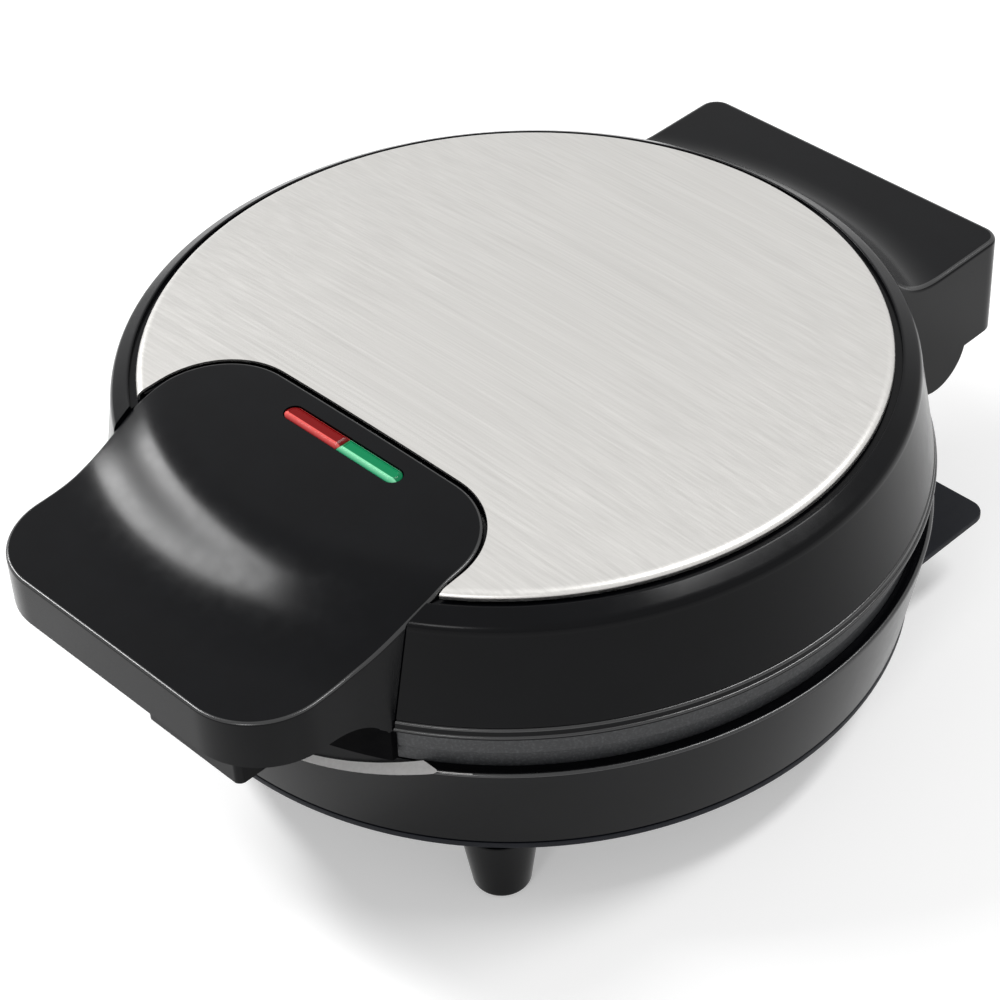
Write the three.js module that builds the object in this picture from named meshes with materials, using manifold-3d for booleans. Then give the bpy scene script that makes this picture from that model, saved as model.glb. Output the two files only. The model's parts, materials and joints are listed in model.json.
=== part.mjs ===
// Round countertop sandwich maker with a hinged lid, closed.
// Millimetres, +Z up. The origin is on the floor, on the axis of the round body.
// The handle points to -Y and the hinge is at +Y.

import * as THREE from 'three';
import { mergeVertices } from 'three/addons/utils/BufferGeometryUtils.js';
import Module from 'manifold-3d';

const wasm = await Module();
wasm.setup();

// Fits and walls that many pieces share
const touchGap = 0.3;
const pinGap = 0.15;
const cutOverrun = 4;
const mergeTolerance = 0.0001;
const shellWall = 2.4;
const bodySegments = 48;
const innerSegments = 24;
const smallSegments = 12;
const cornerSegments = 4;

// The round body is sized by the lower plate's rim
const lowerRimRadius = 104.3;
const baseRimWall = 3.4;
const baseDraft = 5.2;
const baseTopRadius = lowerRimRadius + touchGap + baseRimWall;
const baseBottomRadius = baseTopRadius - baseDraft;

// Feet, bottom cover and base housing
const footHeight = 21.6;
const coverThickness = 1.8;
const baseHeight = 28.5;
const baseLipRound = 0.9;
const rearEdgeInset = 2.3;
const rearFlatClear = 3.2;
const coverCornerInset = 24.3;
const coverCornerRadius = 5;

const rearEdgeY = baseBottomRadius - rearEdgeInset;
const coverRearHalfWidth = baseBottomRadius - coverCornerInset;
const coverBottomZ = footHeight;
const coverTopZ = coverBottomZ + coverThickness;
const baseBottomZ = coverTopZ + touchGap;
const baseTopZ = baseBottomZ + baseHeight;
const baseTaper = (baseTopRadius - baseBottomRadius) / baseHeight;

// Cooking plates: a flat land round four quadrant pockets, above and below
const lowerRimStand = 4.1;
const lowerRimDepth = 4.4;
const lowerRimLedge = 5.8;
const upperRimHeight = 5.2;
const upperRimOverhang = 1;
const upperStepInset = 1.4;
const upperStepHeight = 3.6;
const pocketDepth = 9;
const pocketWall = 4;
const plateFloor = 3;
const ridgeWidth = 7;
const pocketCornerRadius = 9;
const pocketDraft = 3.2;
const plateBossHeight = 5;

const upperRimRadius = lowerRimRadius + upperRimOverhang;
const upperStepRadius = upperRimRadius - upperStepInset;
const drumRadius = lowerRimRadius - lowerRimLedge;
const pocketRadius = drumRadius - pocketWall;
const lowerRimTopZ = baseTopZ + lowerRimStand;
const lowerRimBottomZ = lowerRimTopZ - lowerRimDepth;
const lowerPlateBottomZ = lowerRimTopZ - pocketDepth - plateFloor;
const rearFlatHeight = lowerPlateBottomZ - baseBottomZ - shellWall - rearFlatClear;
const upperRimBottomZ = lowerRimTopZ + touchGap;
const upperRimTopZ = upperRimBottomZ + upperRimHeight;
const upperPlateTopZ = upperRimBottomZ + pocketDepth + plateFloor;

// Lid housing
const rimReveal = 1.8;
const lidHeight = 35.1;
const beadInset = 0.1;
const beadHeight = 3.2;
const beadStand = 0.9;
const beadEdge = 0.5;
const lidDraft = 5;
const rimRoundWidth = 5.4;
const rimRoundHeight = 6.8;
const rimBelowCover = 1.8;

const beadRadius = baseTopRadius - beadInset;
const lidWallTopRadius = beadRadius - lidDraft;
const lidBottomZ = upperRimTopZ + rimReveal;
const lidTopZ = lidBottomZ + lidHeight;
const beadTopZ = lidBottomZ + beadHeight;
const lidWallBottomRadius = beadRadius - beadStand;

// Steel cover plate, sunk in the top of the lid
const rimInset = 5.3;
const coverPlateThickness = 0.7;
const coverPlateCrown = 3;
const coverPlateEdgeRound = 1.3;
const coverPlateSkirt = 2.2;
const grooveWidth = 1.9;
const grooveDepth = 2.6;

const recessFloorZ = lidTopZ - coverPlateThickness - touchGap;
const grooveOuterRadius = lidWallTopRadius - rimInset;
const coverPlateRadius = grooveOuterRadius - grooveWidth;
const grooveFloorZ = lidTopZ - grooveDepth - touchGap;
const lidCeilingZ = recessFloorZ - shellWall;
const coverSeatRadius = coverPlateRadius - grooveWidth - shellWall;

// Handle
const handleReach = 26.5;
const handleLobeLength = 57.4;
const handleWidest = 53.4;
const handleWidestInset = 28;
const handleWaistDraw = 2.1;
const handleWaistInset = 4;
const handleRearDraw = 1.2;
const handleRearCorner = 21.5;
const handleFrontCorner = 20;
const handleSideRound = 60;
const handleSegments = 5;
const lobeStand = 0.2;
const lobeCrown = 2.5;
const lobeGap = 1;
const sweepInset = 3.4;
const sweepLength = 36;
const gripDrop = 11.6;
const gripFall = 1;
const skirtFrontHeight = 10.6;
const skirtArch = 9;
const handleWall = 2.3;
const rootFillet = 14;
const rootInset = 17.5;
const rootWall = 2.6;

const handleFrontY = -baseTopRadius - handleReach;
const handleRearY = handleLobeLength - baseTopRadius;
const handleWidestY = handleWidestInset - baseTopRadius;
const handleWaistY = handleWaistInset - baseTopRadius;
const handleWaist = handleWidest - handleWaistDraw;
const handleRearHalfWidth = handleWidest - handleRearDraw;
const sweepStartRadius = coverSeatRadius - sweepInset;
const sweepEndRadius = sweepStartRadius + sweepLength;
const rootY = rootInset - baseTopRadius;
const lobeTopZ = lidTopZ + lobeStand;
const gripTopZ = lobeTopZ - gripDrop;
const rootBottomZ = lidBottomZ + touchGap;

// Lamp lenses in the handle
const lampSlotLength = 40.2;
const lampSlotWidth = 4.9;
const lampSlotInset = 8;
const lensStand = 0.35;
const lensGap = 0.25;
const lampSlotY = handleRearY - lampSlotInset;

// Hinge, behind the round body
const hingeBehind = 0.6;
const hingeStand = 1.7;
const hingeBlockLength = 25.8;
const hingeBlockHalfWidth = 52.3;
const hingeBlockDrop = 15.1;
const hingeBlockCorner = 5.5;
const hingeBlockLip = 3;
const hingeBlockChamfer = 2.1;
const hingeLugRadius = 12;
const hingeLugThickness = 6;
const hingeEarClearance = 2.2;
const hingeEarThickness = 7;
const hingePinRadius = 2.8;
const hingePinHeadRadius = 4.6;
const hingePinHeadThickness = 1.8;
const hingePinDepthInLug = 4;
const earFootInset = 17.1;
const earWebStand = 0.9;
const earWebInset = 1.2;
const lugStartInset = 35.7;

const hingeY = baseTopRadius + hingeBehind;
const hingeBlockRearY = hingeY + hingeBlockLength;
const earFootY = baseTopRadius - earFootInset;
const lugStartY = baseTopRadius - lugStartInset;
const hingeZ = lowerRimTopZ + hingeStand;
const hingeBlockTopZ = lidTopZ - hingeBlockDrop;
const hingeBlockBottomZ = hingeZ - hingeBlockLip;
const lugInnerX = hingeBlockHalfWidth - hingeLugThickness;
const earOuterX = lugInnerX - touchGap;
const earInnerX = earOuterX - hingeEarThickness;
const earReachY = Math.sqrt(upperRimRadius * upperRimRadius - earInnerX * earInnerX);
const hingeEarRadius = hingeY - earReachY - hingeEarClearance;

// Feet
const footTopRadius = 10.3;
const footBottomRadius = 7.5;
const footEndRound = 1.6;
const footStandOff = 0.6;
const frontFootInset = 9.9;
const frontFootDegrees = -49.2;
const rearFootX = 52;
const rearFootInset = 22.2;
const padRadius = 4;
const padHeight = 3.2;
const footScrewSeat = 7.8;
const footScrewLength = 17;
const footScrewHeadZ = footHeight - footScrewSeat;

// Screws
const screwRadius = 1.6;
const screwHoleRadius = 1.9;
const screwHeadRadius = 3.3;
const screwHeadHeight = 2;
const bossRadius = 4.4;
const pilotRadius = 1.75;
const screwSides = 8;

// Finishes
const glossBlack = finish(0x141416, 0.22, 0);
const satinBlack = finish(0x1b1c20, 0.45, 0);
const coverBlack = finish(0x1a1e2a, 0.6, 0);
const brushedSteel = finish(0xcfccc6, 0.34, 1);
const nonStick = finish(0x3a3b3e, 0.7, 0.2);
const elementSteel = finish(0x8b8f92, 0.4, 1);
const pressedSteel = finish(0xb4b6b8, 0.45, 1);
const screwSteel = finish(0x9a9b9c, 0.4, 1);
const redLens = finish(0xb01418, 0.15, 0);
const greenLens = finish(0x17925a, 0.15, 0);
const lampGlass = finish(0xd8d0c0, 0.1, 0);
const ceramic = finish(0xe6e2d8, 0.7, 0);
const footRubber = finish(0x242424, 0.9, 0);

function finish(color, roughness, metalness) {
  return new THREE.MeshStandardMaterial({ color, roughness, metalness });
}

// Solids for joining and cutting

function signedVolume(position, index) {
  const a = new THREE.Vector3();
  const b = new THREE.Vector3();
  const c = new THREE.Vector3();
  let sum = 0;
  for (let i = 0; i < index.length; i += 3) {
    a.fromBufferAttribute(position, index[i]);
    b.fromBufferAttribute(position, index[i + 1]);
    c.fromBufferAttribute(position, index[i + 2]);
    sum += a.dot(b.cross(c));
  }
  return sum;
}

function solidOf(geometry) {
  const bare = geometry.clone();
  bare.deleteAttribute('normal');
  bare.deleteAttribute('uv');
  const merged = mergeVertices(bare, mergeTolerance);
  const kept = [];
  const index = merged.index.array;
  for (let i = 0; i < index.length; i += 3) {
    const [a, b, c] = [index[i], index[i + 1], index[i + 2]];
    if (a !== b && b !== c && c !== a) {
      kept.push(a, b, c);
    }
  }
  if (signedVolume(merged.attributes.position, kept) < 0) {
    kept.reverse();
  }
  const mesh = new wasm.Mesh({
    numProp: 3,
    vertProperties: new Float32Array(merged.attributes.position.array),
    triVerts: new Uint32Array(kept),
  });
  return new wasm.Manifold(mesh);
}

function geometryOf(solid) {
  const mesh = solid.getMesh();
  const geometry = new THREE.BufferGeometry();
  geometry.setAttribute('position', new THREE.BufferAttribute(mesh.vertProperties.slice(), 3));
  geometry.setIndex(new THREE.BufferAttribute(mesh.triVerts.slice(), 1));
  geometry.computeVertexNormals();
  return geometry;
}

function joined(solids) {
  return solids.reduce((all, solid) => all.add(solid));
}

function point(x, y) {
  return new THREE.Vector2(x, y);
}

// Forms: a profile of (radius, z) turned about the body axis, and outlines pushed along an axis

function revolved(profile, segments) {
  const geometry = new THREE.LatheGeometry(profile, segments);
  geometry.rotateX(Math.PI / 2);
  return solidOf(geometry);
}

function pushed(outline, length, basis) {
  const shape = new THREE.Shape(outline);
  const geometry = new THREE.ExtrudeGeometry(shape, { depth: length, bevelEnabled: false });
  return solidOf(geometry.applyMatrix4(basis));
}

const axisX = new THREE.Vector3(1, 0, 0);
const axisY = new THREE.Vector3(0, 1, 0);
const axisZ = new THREE.Vector3(0, 0, 1);

// outline in (x, y), from z = low to z = high
function upright(outline, low, high) {
  const basis = new THREE.Matrix4().setPosition(0, 0, low);
  return pushed(outline, high - low, basis);
}

// outline in (y, z), from x = low to x = high
function crosswise(outline, low, high) {
  const basis = new THREE.Matrix4().makeBasis(axisY, axisZ, axisX);
  basis.setPosition(low, 0, 0);
  return pushed(outline, high - low, basis);
}

// outline in (x, z), from y = low to y = high
function lengthwise(outline, low, high) {
  const basis = new THREE.Matrix4().makeBasis(axisX, axisZ, axisY.clone().negate());
  basis.setPosition(0, high, 0);
  return pushed(outline, high - low, basis);
}

function rod(x, y, low, high, radius, segments = smallSegments) {
  const geometry = new THREE.CylinderGeometry(radius, radius, high - low, segments);
  geometry.rotateX(Math.PI / 2);
  geometry.translate(x, y, (low + high) / 2);
  return solidOf(geometry);
}

function crossRod(y, z, low, high, radius, segments = smallSegments) {
  const geometry = new THREE.CylinderGeometry(radius, radius, high - low, segments);
  geometry.rotateZ(Math.PI / 2);
  geometry.translate((low + high) / 2, y, z);
  return solidOf(geometry);
}

function block(low, high) {
  const geometry = new THREE.BoxGeometry(high[0] - low[0], high[1] - low[1], high[2] - low[2]);
  geometry.translate((low[0] + high[0]) / 2, (low[1] + high[1]) / 2, (low[2] + high[2]) / 2);
  return solidOf(geometry);
}

function disc(radius, low, high, segments = bodySegments) {
  return rod(0, 0, low, high, radius, segments);
}

// corners are [x, y, radius], in order round the outline; a corner of radius 0 stays sharp
function roundedOutline(corners, segments = cornerSegments) {
  const points = [];
  corners.forEach(([x, y, radius], i) => {
    const here = point(x, y);
    const [beforeX, beforeY] = corners[(i + corners.length - 1) % corners.length];
    const [afterX, afterY] = corners[(i + 1) % corners.length];
    const back = point(beforeX, beforeY).sub(here).normalize();
    const ahead = point(afterX, afterY).sub(here).normalize();
    if (radius === 0) {
      points.push(here);
      return;
    }
    const half = Math.acos(THREE.MathUtils.clamp(back.dot(ahead), -1, 1)) / 2;
    const middle = back.clone().add(ahead).normalize();
    const centre = here.clone().addScaledVector(middle, radius / Math.sin(half));
    const start = here.clone().addScaledVector(back, radius / Math.tan(half)).sub(centre);
    const end = here.clone().addScaledVector(ahead, radius / Math.tan(half)).sub(centre);
    const turn = Math.atan2(start.cross(end), start.dot(end));
    for (let step = 0; step <= segments; step += 1) {
      const angle = (turn * step) / segments;
      points.push(start.clone().rotateAround(point(0, 0), angle).add(centre));
    }
  });
  return points;
}

// a half outline on the +X side, given from front to rear, closed by its mirror image
function mirroredCorners(half) {
  const other = half.map(([x, y, radius]) => [-x, y, radius]).reverse();
  return [...half, ...other];
}

function arc(centreX, centreY, radiusX, radiusY, fromDegrees, toDegrees, segments = cornerSegments) {
  const points = [];
  for (let step = 0; step <= segments; step += 1) {
    const degrees = fromDegrees + ((toDegrees - fromDegrees) * step) / segments;
    const angle = THREE.MathUtils.degToRad(degrees);
    points.push(point(centreX + radiusX * Math.cos(angle), centreY + radiusY * Math.sin(angle)));
  }
  return points;
}

function circle(x, y, radius, segments) {
  return arc(x, y, radius, radius, 0, 360 - 360 / segments, segments - 1);
}

function onCircle(radius, degrees) {
  const angle = THREE.MathUtils.degToRad(degrees);
  return point(radius * Math.cos(angle), radius * Math.sin(angle));
}

const quadrantDegrees = [0, 90, 180, 270];
const plateScrewDegrees = [-90, 30, 150];

function baseRadiusAt(z) {
  return baseBottomRadius + (z - baseBottomZ) * baseTaper;
}

// Base housing: a drafted ring with a seat for the lower plate and a finger scoop in front

const seatInnerRadius = drumRadius + touchGap;
const seatThickness = 2.4;
const scoopLength = 19.4;
const scoopSlopeDegrees = 33;
const frontLugHalfWidth = 17.7;
const frontLugReach = 7.3;
const frontLugHeight = 13.5;
const frontLugDrop = 1.8;
const frontLugTopZ = baseTopZ - frontLugDrop;
const frontLugBottomZ = frontLugTopZ - frontLugHeight;
const frontLugCorner = 2;
const plateArmWidth = 11;
const plateArmThickness = 3;
const plateArmTopZ = lowerPlateBottomZ - plateBossHeight - touchGap;
const plateScrewInset = 8.5;

const scoopStartY = scoopLength - baseTopRadius;
const frontLugY = -baseTopRadius - frontLugReach;
const plateScrewRadius = drumRadius - plateScrewInset;
const scoopSlope = Math.tan(THREE.MathUtils.degToRad(scoopSlopeDegrees));

function scoopWedge(offset, innerRadius) {
  const topZ = baseTopZ + cutOverrun;
  const frontY = -baseTopRadius - cutOverrun;
  const startZ = baseTopZ - offset / Math.cos(Math.atan(scoopSlope));
  const frontZ = startZ - (scoopStartY - frontY) * scoopSlope;
  const wedge = crosswise([
    point(scoopStartY, topZ),
    point(frontY, topZ),
    point(frontY, frontZ),
    point(scoopStartY, startZ),
  ], -baseTopRadius, baseTopRadius);
  return wedge.subtract(disc(innerRadius, baseBottomZ, topZ + cutOverrun));
}

function baseOuterProfile() {
  return [
    point(0, baseBottomZ),
    point(baseBottomRadius, baseBottomZ),
    point(baseRadiusAt(baseTopZ - baseLipRound), baseTopZ - baseLipRound),
    point(baseTopRadius - baseLipRound, baseTopZ),
    point(0, baseTopZ),
  ];
}

function baseCavityProfile() {
  const seatTopZ = lowerRimBottomZ - touchGap;
  const seatBottomZ = seatTopZ - seatThickness;
  return [
    point(0, baseBottomZ - cutOverrun),
    point(baseBottomRadius - shellWall, baseBottomZ - cutOverrun),
    point(baseBottomRadius - shellWall, baseBottomZ),
    point(baseRadiusAt(seatBottomZ) - shellWall, seatBottomZ),
    point(seatInnerRadius, seatBottomZ),
    point(seatInnerRadius, seatTopZ),
    point(lowerRimRadius + touchGap, seatTopZ),
    point(lowerRimRadius + touchGap, baseTopZ + cutOverrun),
    point(0, baseTopZ + cutOverrun),
  ];
}

function hingeEar(innerX, outerX) {
  const webTopY = hingeY - hingeEarRadius;
  const outline = [
    point(earFootY, baseTopZ - baseLipRound),
    point(earFootY, baseBottomZ + baseHeight / 2),
    ...arc(hingeY, hingeZ, hingeEarRadius, hingeEarRadius, -60, 150, smallSegments),
    point(webTopY, baseTopZ + earWebStand),
    point(webTopY - earWebInset, baseTopZ - baseLipRound),
  ];
  return crosswise(outline, innerX, outerX);
}

const glandMargin = 0.9;
const glandFlangeLip = 1;
const glandFlangeThickness = 1.6;
const glandWall = 2.1;
const glandZ = baseBottomZ + rearFlatHeight / 2;
const glandFlangeRadius = rearFlatHeight / 2 - glandMargin;
const glandRadius = glandFlangeRadius - glandFlangeLip;
const glandBoreRadius = glandRadius - glandWall;

function footPlaces() {
  const front = onCircle(baseBottomRadius - frontFootInset, frontFootDegrees);
  const rearFootY = rearEdgeY - rearFootInset;
  return {
    front_left: point(-front.x, front.y),
    front_right: point(front.x, front.y),
    rear_left: point(-rearFootX, rearFootY),
    rear_right: point(rearFootX, rearFootY),
  };
}

function baseHousing() {
  const rearFlat = block(
    [-baseTopRadius, rearEdgeY, baseBottomZ - cutOverrun],
    [baseTopRadius, baseTopRadius + cutOverrun, baseBottomZ + rearFlatHeight],
  );
  const rearWall = block(
    [-baseTopRadius, rearEdgeY - shellWall, baseBottomZ - cutOverrun],
    [baseTopRadius, baseTopRadius + cutOverrun, baseBottomZ + rearFlatHeight + shellWall],
  );
  const outer = revolved(baseOuterProfile(), bodySegments);
  const cavity = revolved(baseCavityProfile(), bodySegments);
  const scoop = scoopWedge(0, lowerRimRadius + touchGap);
  const scoopBacking = scoopWedge(shellWall, lowerRimRadius + touchGap - shellWall);
  const openCavity = cavity.subtract(rearWall).subtract(scoopBacking.subtract(
    disc(lowerRimRadius + touchGap, lowerRimBottomZ - touchGap, baseTopZ + cutOverrun * 3),
  ));
  let housing = outer.subtract(rearFlat).subtract(scoop).subtract(openCavity);

  const lug = upright(roundedOutline([
    [frontLugHalfWidth, frontLugY, frontLugCorner],
    [frontLugHalfWidth, -lowerRimRadius + shellWall, 0],
    [-frontLugHalfWidth, -lowerRimRadius + shellWall, 0],
    [-frontLugHalfWidth, frontLugY, frontLugCorner],
  ]), frontLugBottomZ, frontLugTopZ);
  const lugHollow = revolved(baseCavityProfile(), bodySegments);
  housing = housing.add(lug.subtract(lugHollow));

  for (const side of [-1, 1]) {
    const [low, high] = [side * earInnerX, side * earOuterX].sort((a, b) => a - b);
    housing = housing.add(hingeEar(low, high).subtract(openCavity));
    housing = housing.subtract(crossRod(
      hingeY, hingeZ, low - cutOverrun, high + cutOverrun, hingePinRadius + pinGap,
    ));
  }

  const bossTopZ = coverTopZ + baseHeight / 2;
  for (const place of Object.values(footPlaces())) {
    const post = rod(place.x, place.y, baseBottomZ, bossTopZ, bossRadius);
    const away = place.clone().normalize();
    const web = block(
      [-shellWall / 2, 0, baseBottomZ],
      [shellWall / 2, baseBottomRadius - place.length() - shellWall / 2, bossTopZ],
    ).rotate([0, 0, THREE.MathUtils.radToDeg(Math.atan2(away.y, away.x)) - 90]);
    const hole = rod(place.x, place.y, baseBottomZ - cutOverrun, bossTopZ - shellWall, screwHoleRadius);
    housing = housing.add(joined([post, web.translate([place.x, place.y, 0])]).subtract(hole));
    housing = housing.subtract(hole);
  }

  for (const degrees of plateScrewDegrees) {
    const arm = block(
      [plateScrewRadius - plateArmWidth / 2, -plateArmWidth / 2, plateArmTopZ - plateArmThickness],
      [baseRadiusAt(plateArmTopZ) - shellWall / 2, plateArmWidth / 2, plateArmTopZ],
    ).rotate([0, 0, degrees]);
    const place = onCircle(plateScrewRadius, degrees);
    const hole = rod(
      place.x, place.y, plateArmTopZ - plateArmThickness - cutOverrun, plateArmTopZ + cutOverrun,
      screwHoleRadius,
    );
    housing = housing.add(arm).subtract(hole);
  }

  const glandHole = lengthwise(
    circle(0, glandZ, glandRadius + pinGap, smallSegments),
    rearEdgeY - shellWall - cutOverrun, rearEdgeY + cutOverrun,
  );
  return housing.subtract(glandHole);
}

// Bottom cover: round in front, square rear corners, with vent slots

const ventRows = 2;
const ventColumns = 4;
const ventLength = 26;
const ventWidth = 2.6;
const ventPitch = 8;
const ventRowGap = 14;
const ventEndRound = ventWidth / 2.1;

function bottomCover() {
  const half = coverRearHalfWidth;
  const tail = upright(roundedOutline([
    [half, 0, 0],
    [half, rearEdgeY, coverCornerRadius],
    [-half, rearEdgeY, coverCornerRadius],
    [-half, 0, 0],
  ]), coverBottomZ, coverTopZ);
  let cover = disc(baseBottomRadius, coverBottomZ, coverTopZ)
    .subtract(block(
      [-baseTopRadius, rearEdgeY, coverBottomZ - cutOverrun],
      [baseTopRadius, baseTopRadius + cutOverrun, coverTopZ + cutOverrun],
    ))
    .add(tail);
  for (const place of Object.values(footPlaces())) {
    const hole = rod(
      place.x, place.y, coverBottomZ - cutOverrun, coverTopZ + cutOverrun, screwHoleRadius,
    );
    cover = cover.subtract(hole);
  }
  for (let row = 0; row < ventRows; row += 1) {
    for (let column = 0; column < ventColumns; column += 1) {
      const x = (column - (ventColumns - 1) / 2) * ventPitch;
      const y = (row - (ventRows - 1) / 2) * (ventLength + ventRowGap);
      cover = cover.subtract(upright(roundedOutline([
        [x + ventWidth / 2, y - ventLength / 2, ventEndRound],
        [x + ventWidth / 2, y + ventLength / 2, ventEndRound],
        [x - ventWidth / 2, y + ventLength / 2, ventEndRound],
        [x - ventWidth / 2, y - ventLength / 2, ventEndRound],
      ], 2), coverBottomZ - cutOverrun, coverTopZ + cutOverrun));
    }
  }
  return cover;
}

// Cooking plates

// the solid that a quadrant's food fills, drafted and rounded, opening upwards at z = 0
function pocketForm() {
  const inner = ridgeWidth / 2 + pocketDraft;
  const outer = pocketRadius - pocketDraft;
  const reach = Math.sqrt(outer * outer - inner * inner);
  const from = THREE.MathUtils.radToDeg(Math.atan2(inner, reach));
  const corner = pocketCornerRadius;
  const arcInset = THREE.MathUtils.radToDeg(corner / outer);
  const outline = [
    ...arc(inner + corner, inner + corner, corner, corner, 180, 270, 3),
    point(reach - corner, inner),
    ...arc(0, 0, outer, outer, from + arcInset, 90 - from - arcInset, 9),
    point(inner, reach - corner),
  ];
  const geometry = new THREE.ExtrudeGeometry(new THREE.Shape(outline), {
    depth: pocketDepth,
    bevelEnabled: true,
    bevelThickness: pocketDepth,
    bevelSize: pocketDraft,
    bevelSegments: 2,
  });
  return solidOf(geometry).subtract(block(
    [-drumRadius, -drumRadius, pocketDepth],
    [drumRadius * 2, drumRadius * 2, pocketDepth * 4],
  ));
}

function lowerPlate() {
  const profile = [
    point(0, lowerPlateBottomZ),
    point(drumRadius, lowerPlateBottomZ),
    point(drumRadius, lowerRimBottomZ),
    point(lowerRimRadius, lowerRimBottomZ),
    point(lowerRimRadius, lowerRimTopZ),
    point(0, lowerRimTopZ),
  ];
  let plate = revolved(profile, bodySegments);
  const pocket = pocketForm();
  for (const degrees of quadrantDegrees) {
    plate = plate.subtract(pocket.rotate([0, 0, degrees]).translate([0, 0, lowerRimTopZ]));
  }
  for (const degrees of plateScrewDegrees) {
    const place = onCircle(plateScrewRadius, degrees);
    const bossBottomZ = lowerPlateBottomZ - plateBossHeight;
    const bossTopZ = lowerPlateBottomZ + plateFloor / 2;
    plate = plate.add(rod(place.x, place.y, bossBottomZ, bossTopZ, bossRadius));
    plate = plate.subtract(rod(
      place.x, place.y, bossBottomZ - cutOverrun, lowerPlateBottomZ + plateFloor / 4, pilotRadius,
    ));
  }
  return plate;
}

const upperScrewEdge = 0.1;
const upperScrewRadius = coverSeatRadius - screwHeadRadius - upperScrewEdge;

function upperPlate() {
  const stepTopZ = upperRimTopZ + upperStepHeight;
  const profile = [
    point(0, upperRimBottomZ),
    point(upperRimRadius, upperRimBottomZ),
    point(upperRimRadius, upperRimTopZ),
    point(upperStepRadius, upperRimTopZ),
    point(upperStepRadius, stepTopZ),
    point(drumRadius, stepTopZ),
    point(drumRadius, upperPlateTopZ),
    point(0, upperPlateTopZ),
  ];
  let plate = revolved(profile, bodySegments);
  const pocket = pocketForm().rotate([180, 0, 0]);
  for (const degrees of quadrantDegrees) {
    plate = plate.subtract(pocket.rotate([0, 0, degrees]).translate([0, 0, upperRimBottomZ]));
  }
  for (const degrees of plateScrewDegrees) {
    const place = onCircle(upperScrewRadius, degrees);
    const bossTopZ = upperPlateTopZ + plateBossHeight;
    const bossBottomZ = upperPlateTopZ - plateFloor / 2;
    plate = plate.add(rod(place.x, place.y, bossBottomZ, bossTopZ, bossRadius));
    plate = plate.subtract(rod(
      place.x, place.y, upperPlateTopZ - plateFloor / 4, bossTopZ + cutOverrun, pilotRadius,
    ));
  }
  return plate;
}

// Tubular heating elements: an open ring whose two cold ends turn away from the plate

const elementTubeRadius = 3.2;
const elementRingInset = 38.5;
const elementRingRadius = drumRadius - elementRingInset;
const elementOpenDegrees = 40;
const elementEndLength = 9;
const elementSteps = 26;
const elementSides = 6;

class ElementCurve extends THREE.Curve {
  constructor(away) {
    super();
    this.away = away;
  }

  getPoint(t, target = new THREE.Vector3()) {
    const endShare = 0.06;
    const sweep = THREE.MathUtils.degToRad(360 - elementOpenDegrees);
    const along = THREE.MathUtils.clamp((t - endShare) / (1 - 2 * endShare), 0, 1);
    const angle = -Math.PI / 2 + THREE.MathUtils.degToRad(elementOpenDegrees / 2) + sweep * along;
    const past = Math.max(0, endShare - t, t - 1 + endShare) / endShare;
    const side = t < 0.5 ? -1 : 1;
    const tangent = new THREE.Vector3(-Math.sin(angle), Math.cos(angle), 0);
    target.set(elementRingRadius * Math.cos(angle), elementRingRadius * Math.sin(angle), 0);
    target.addScaledVector(tangent, side * elementEndLength * Math.sin((past * Math.PI) / 2));
    target.z = this.away * elementEndLength * (1 - Math.cos((past * Math.PI) / 2));
    return target;
  }
}

function heatingElement(centreZ, away) {
  const section = new THREE.Shape(circle(0, 0, elementTubeRadius, elementSides));
  const geometry = new THREE.ExtrudeGeometry(section, {
    steps: elementSteps,
    extrudePath: new ElementCurve(away),
  });
  geometry.translate(0, 0, centreZ);
  return solidOf(geometry);
}

const lowerElementZ = lowerPlateBottomZ - touchGap - elementTubeRadius;
const upperElementZ = upperPlateTopZ + touchGap + elementTubeRadius;

// Pressed reflector dishes hold the elements against the plates

const reflectorThickness = 0.8;
const reflectorGap = 1.6;
const reflectorFlangeWidth = 6;
const reflectorSlopeWidth = 6;
const reflectorRimRadius = upperScrewRadius - bossRadius - reflectorGap;
const reflectorFlangeRadius = reflectorRimRadius - reflectorFlangeWidth;
const reflectorFloorRadius = reflectorFlangeRadius - reflectorSlopeWidth;
const reflectorHoleRadius = 15;
const elementEndSlotWidth = 15;
const elementEndSlotMargin = 5;

function reflector(plateZ, away) {
  const floorZ = plateZ + away * (2 * elementTubeRadius + 2 * touchGap);
  const rimZ = plateZ + away * touchGap;
  const step = away * reflectorThickness;
  const dish = revolved([
    point(reflectorHoleRadius, floorZ),
    point(reflectorFloorRadius, floorZ),
    point(reflectorFlangeRadius, rimZ),
    point(reflectorRimRadius, rimZ),
    point(reflectorRimRadius, rimZ + step),
    point(reflectorFlangeRadius, rimZ + step),
    point(reflectorFloorRadius, floorZ + step),
    point(reflectorHoleRadius, floorZ + step),
    point(reflectorHoleRadius, floorZ),
  ], innerSegments);
  const slotY = -elementRingRadius;
  const openAngle = THREE.MathUtils.degToRad(elementOpenDegrees / 2);
  const slotHalf = elementRingRadius * Math.sin(openAngle) + elementEndSlotMargin / 2;
  const slotLow = Math.min(floorZ, floorZ + step) - cutOverrun / 2;
  const slot = block(
    [-slotHalf, slotY - elementEndSlotWidth / 2, slotLow],
    [slotHalf, slotY + elementEndSlotWidth / 2, slotLow + cutOverrun],
  );
  return dish.subtract(slot);
}

// Thermostat on the lower plate, thermal fuse on the reflector, terminal block on the cover

const thermostatRadius = 9;
const thermostatHeight = 8;
const thermostatFlangeRadius = 12;
const thermostatFlangeThickness = 1.4;
const bladeWidth = 6.3;
const bladeThickness = 0.8;
const bladeClearance = 4.6;

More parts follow.
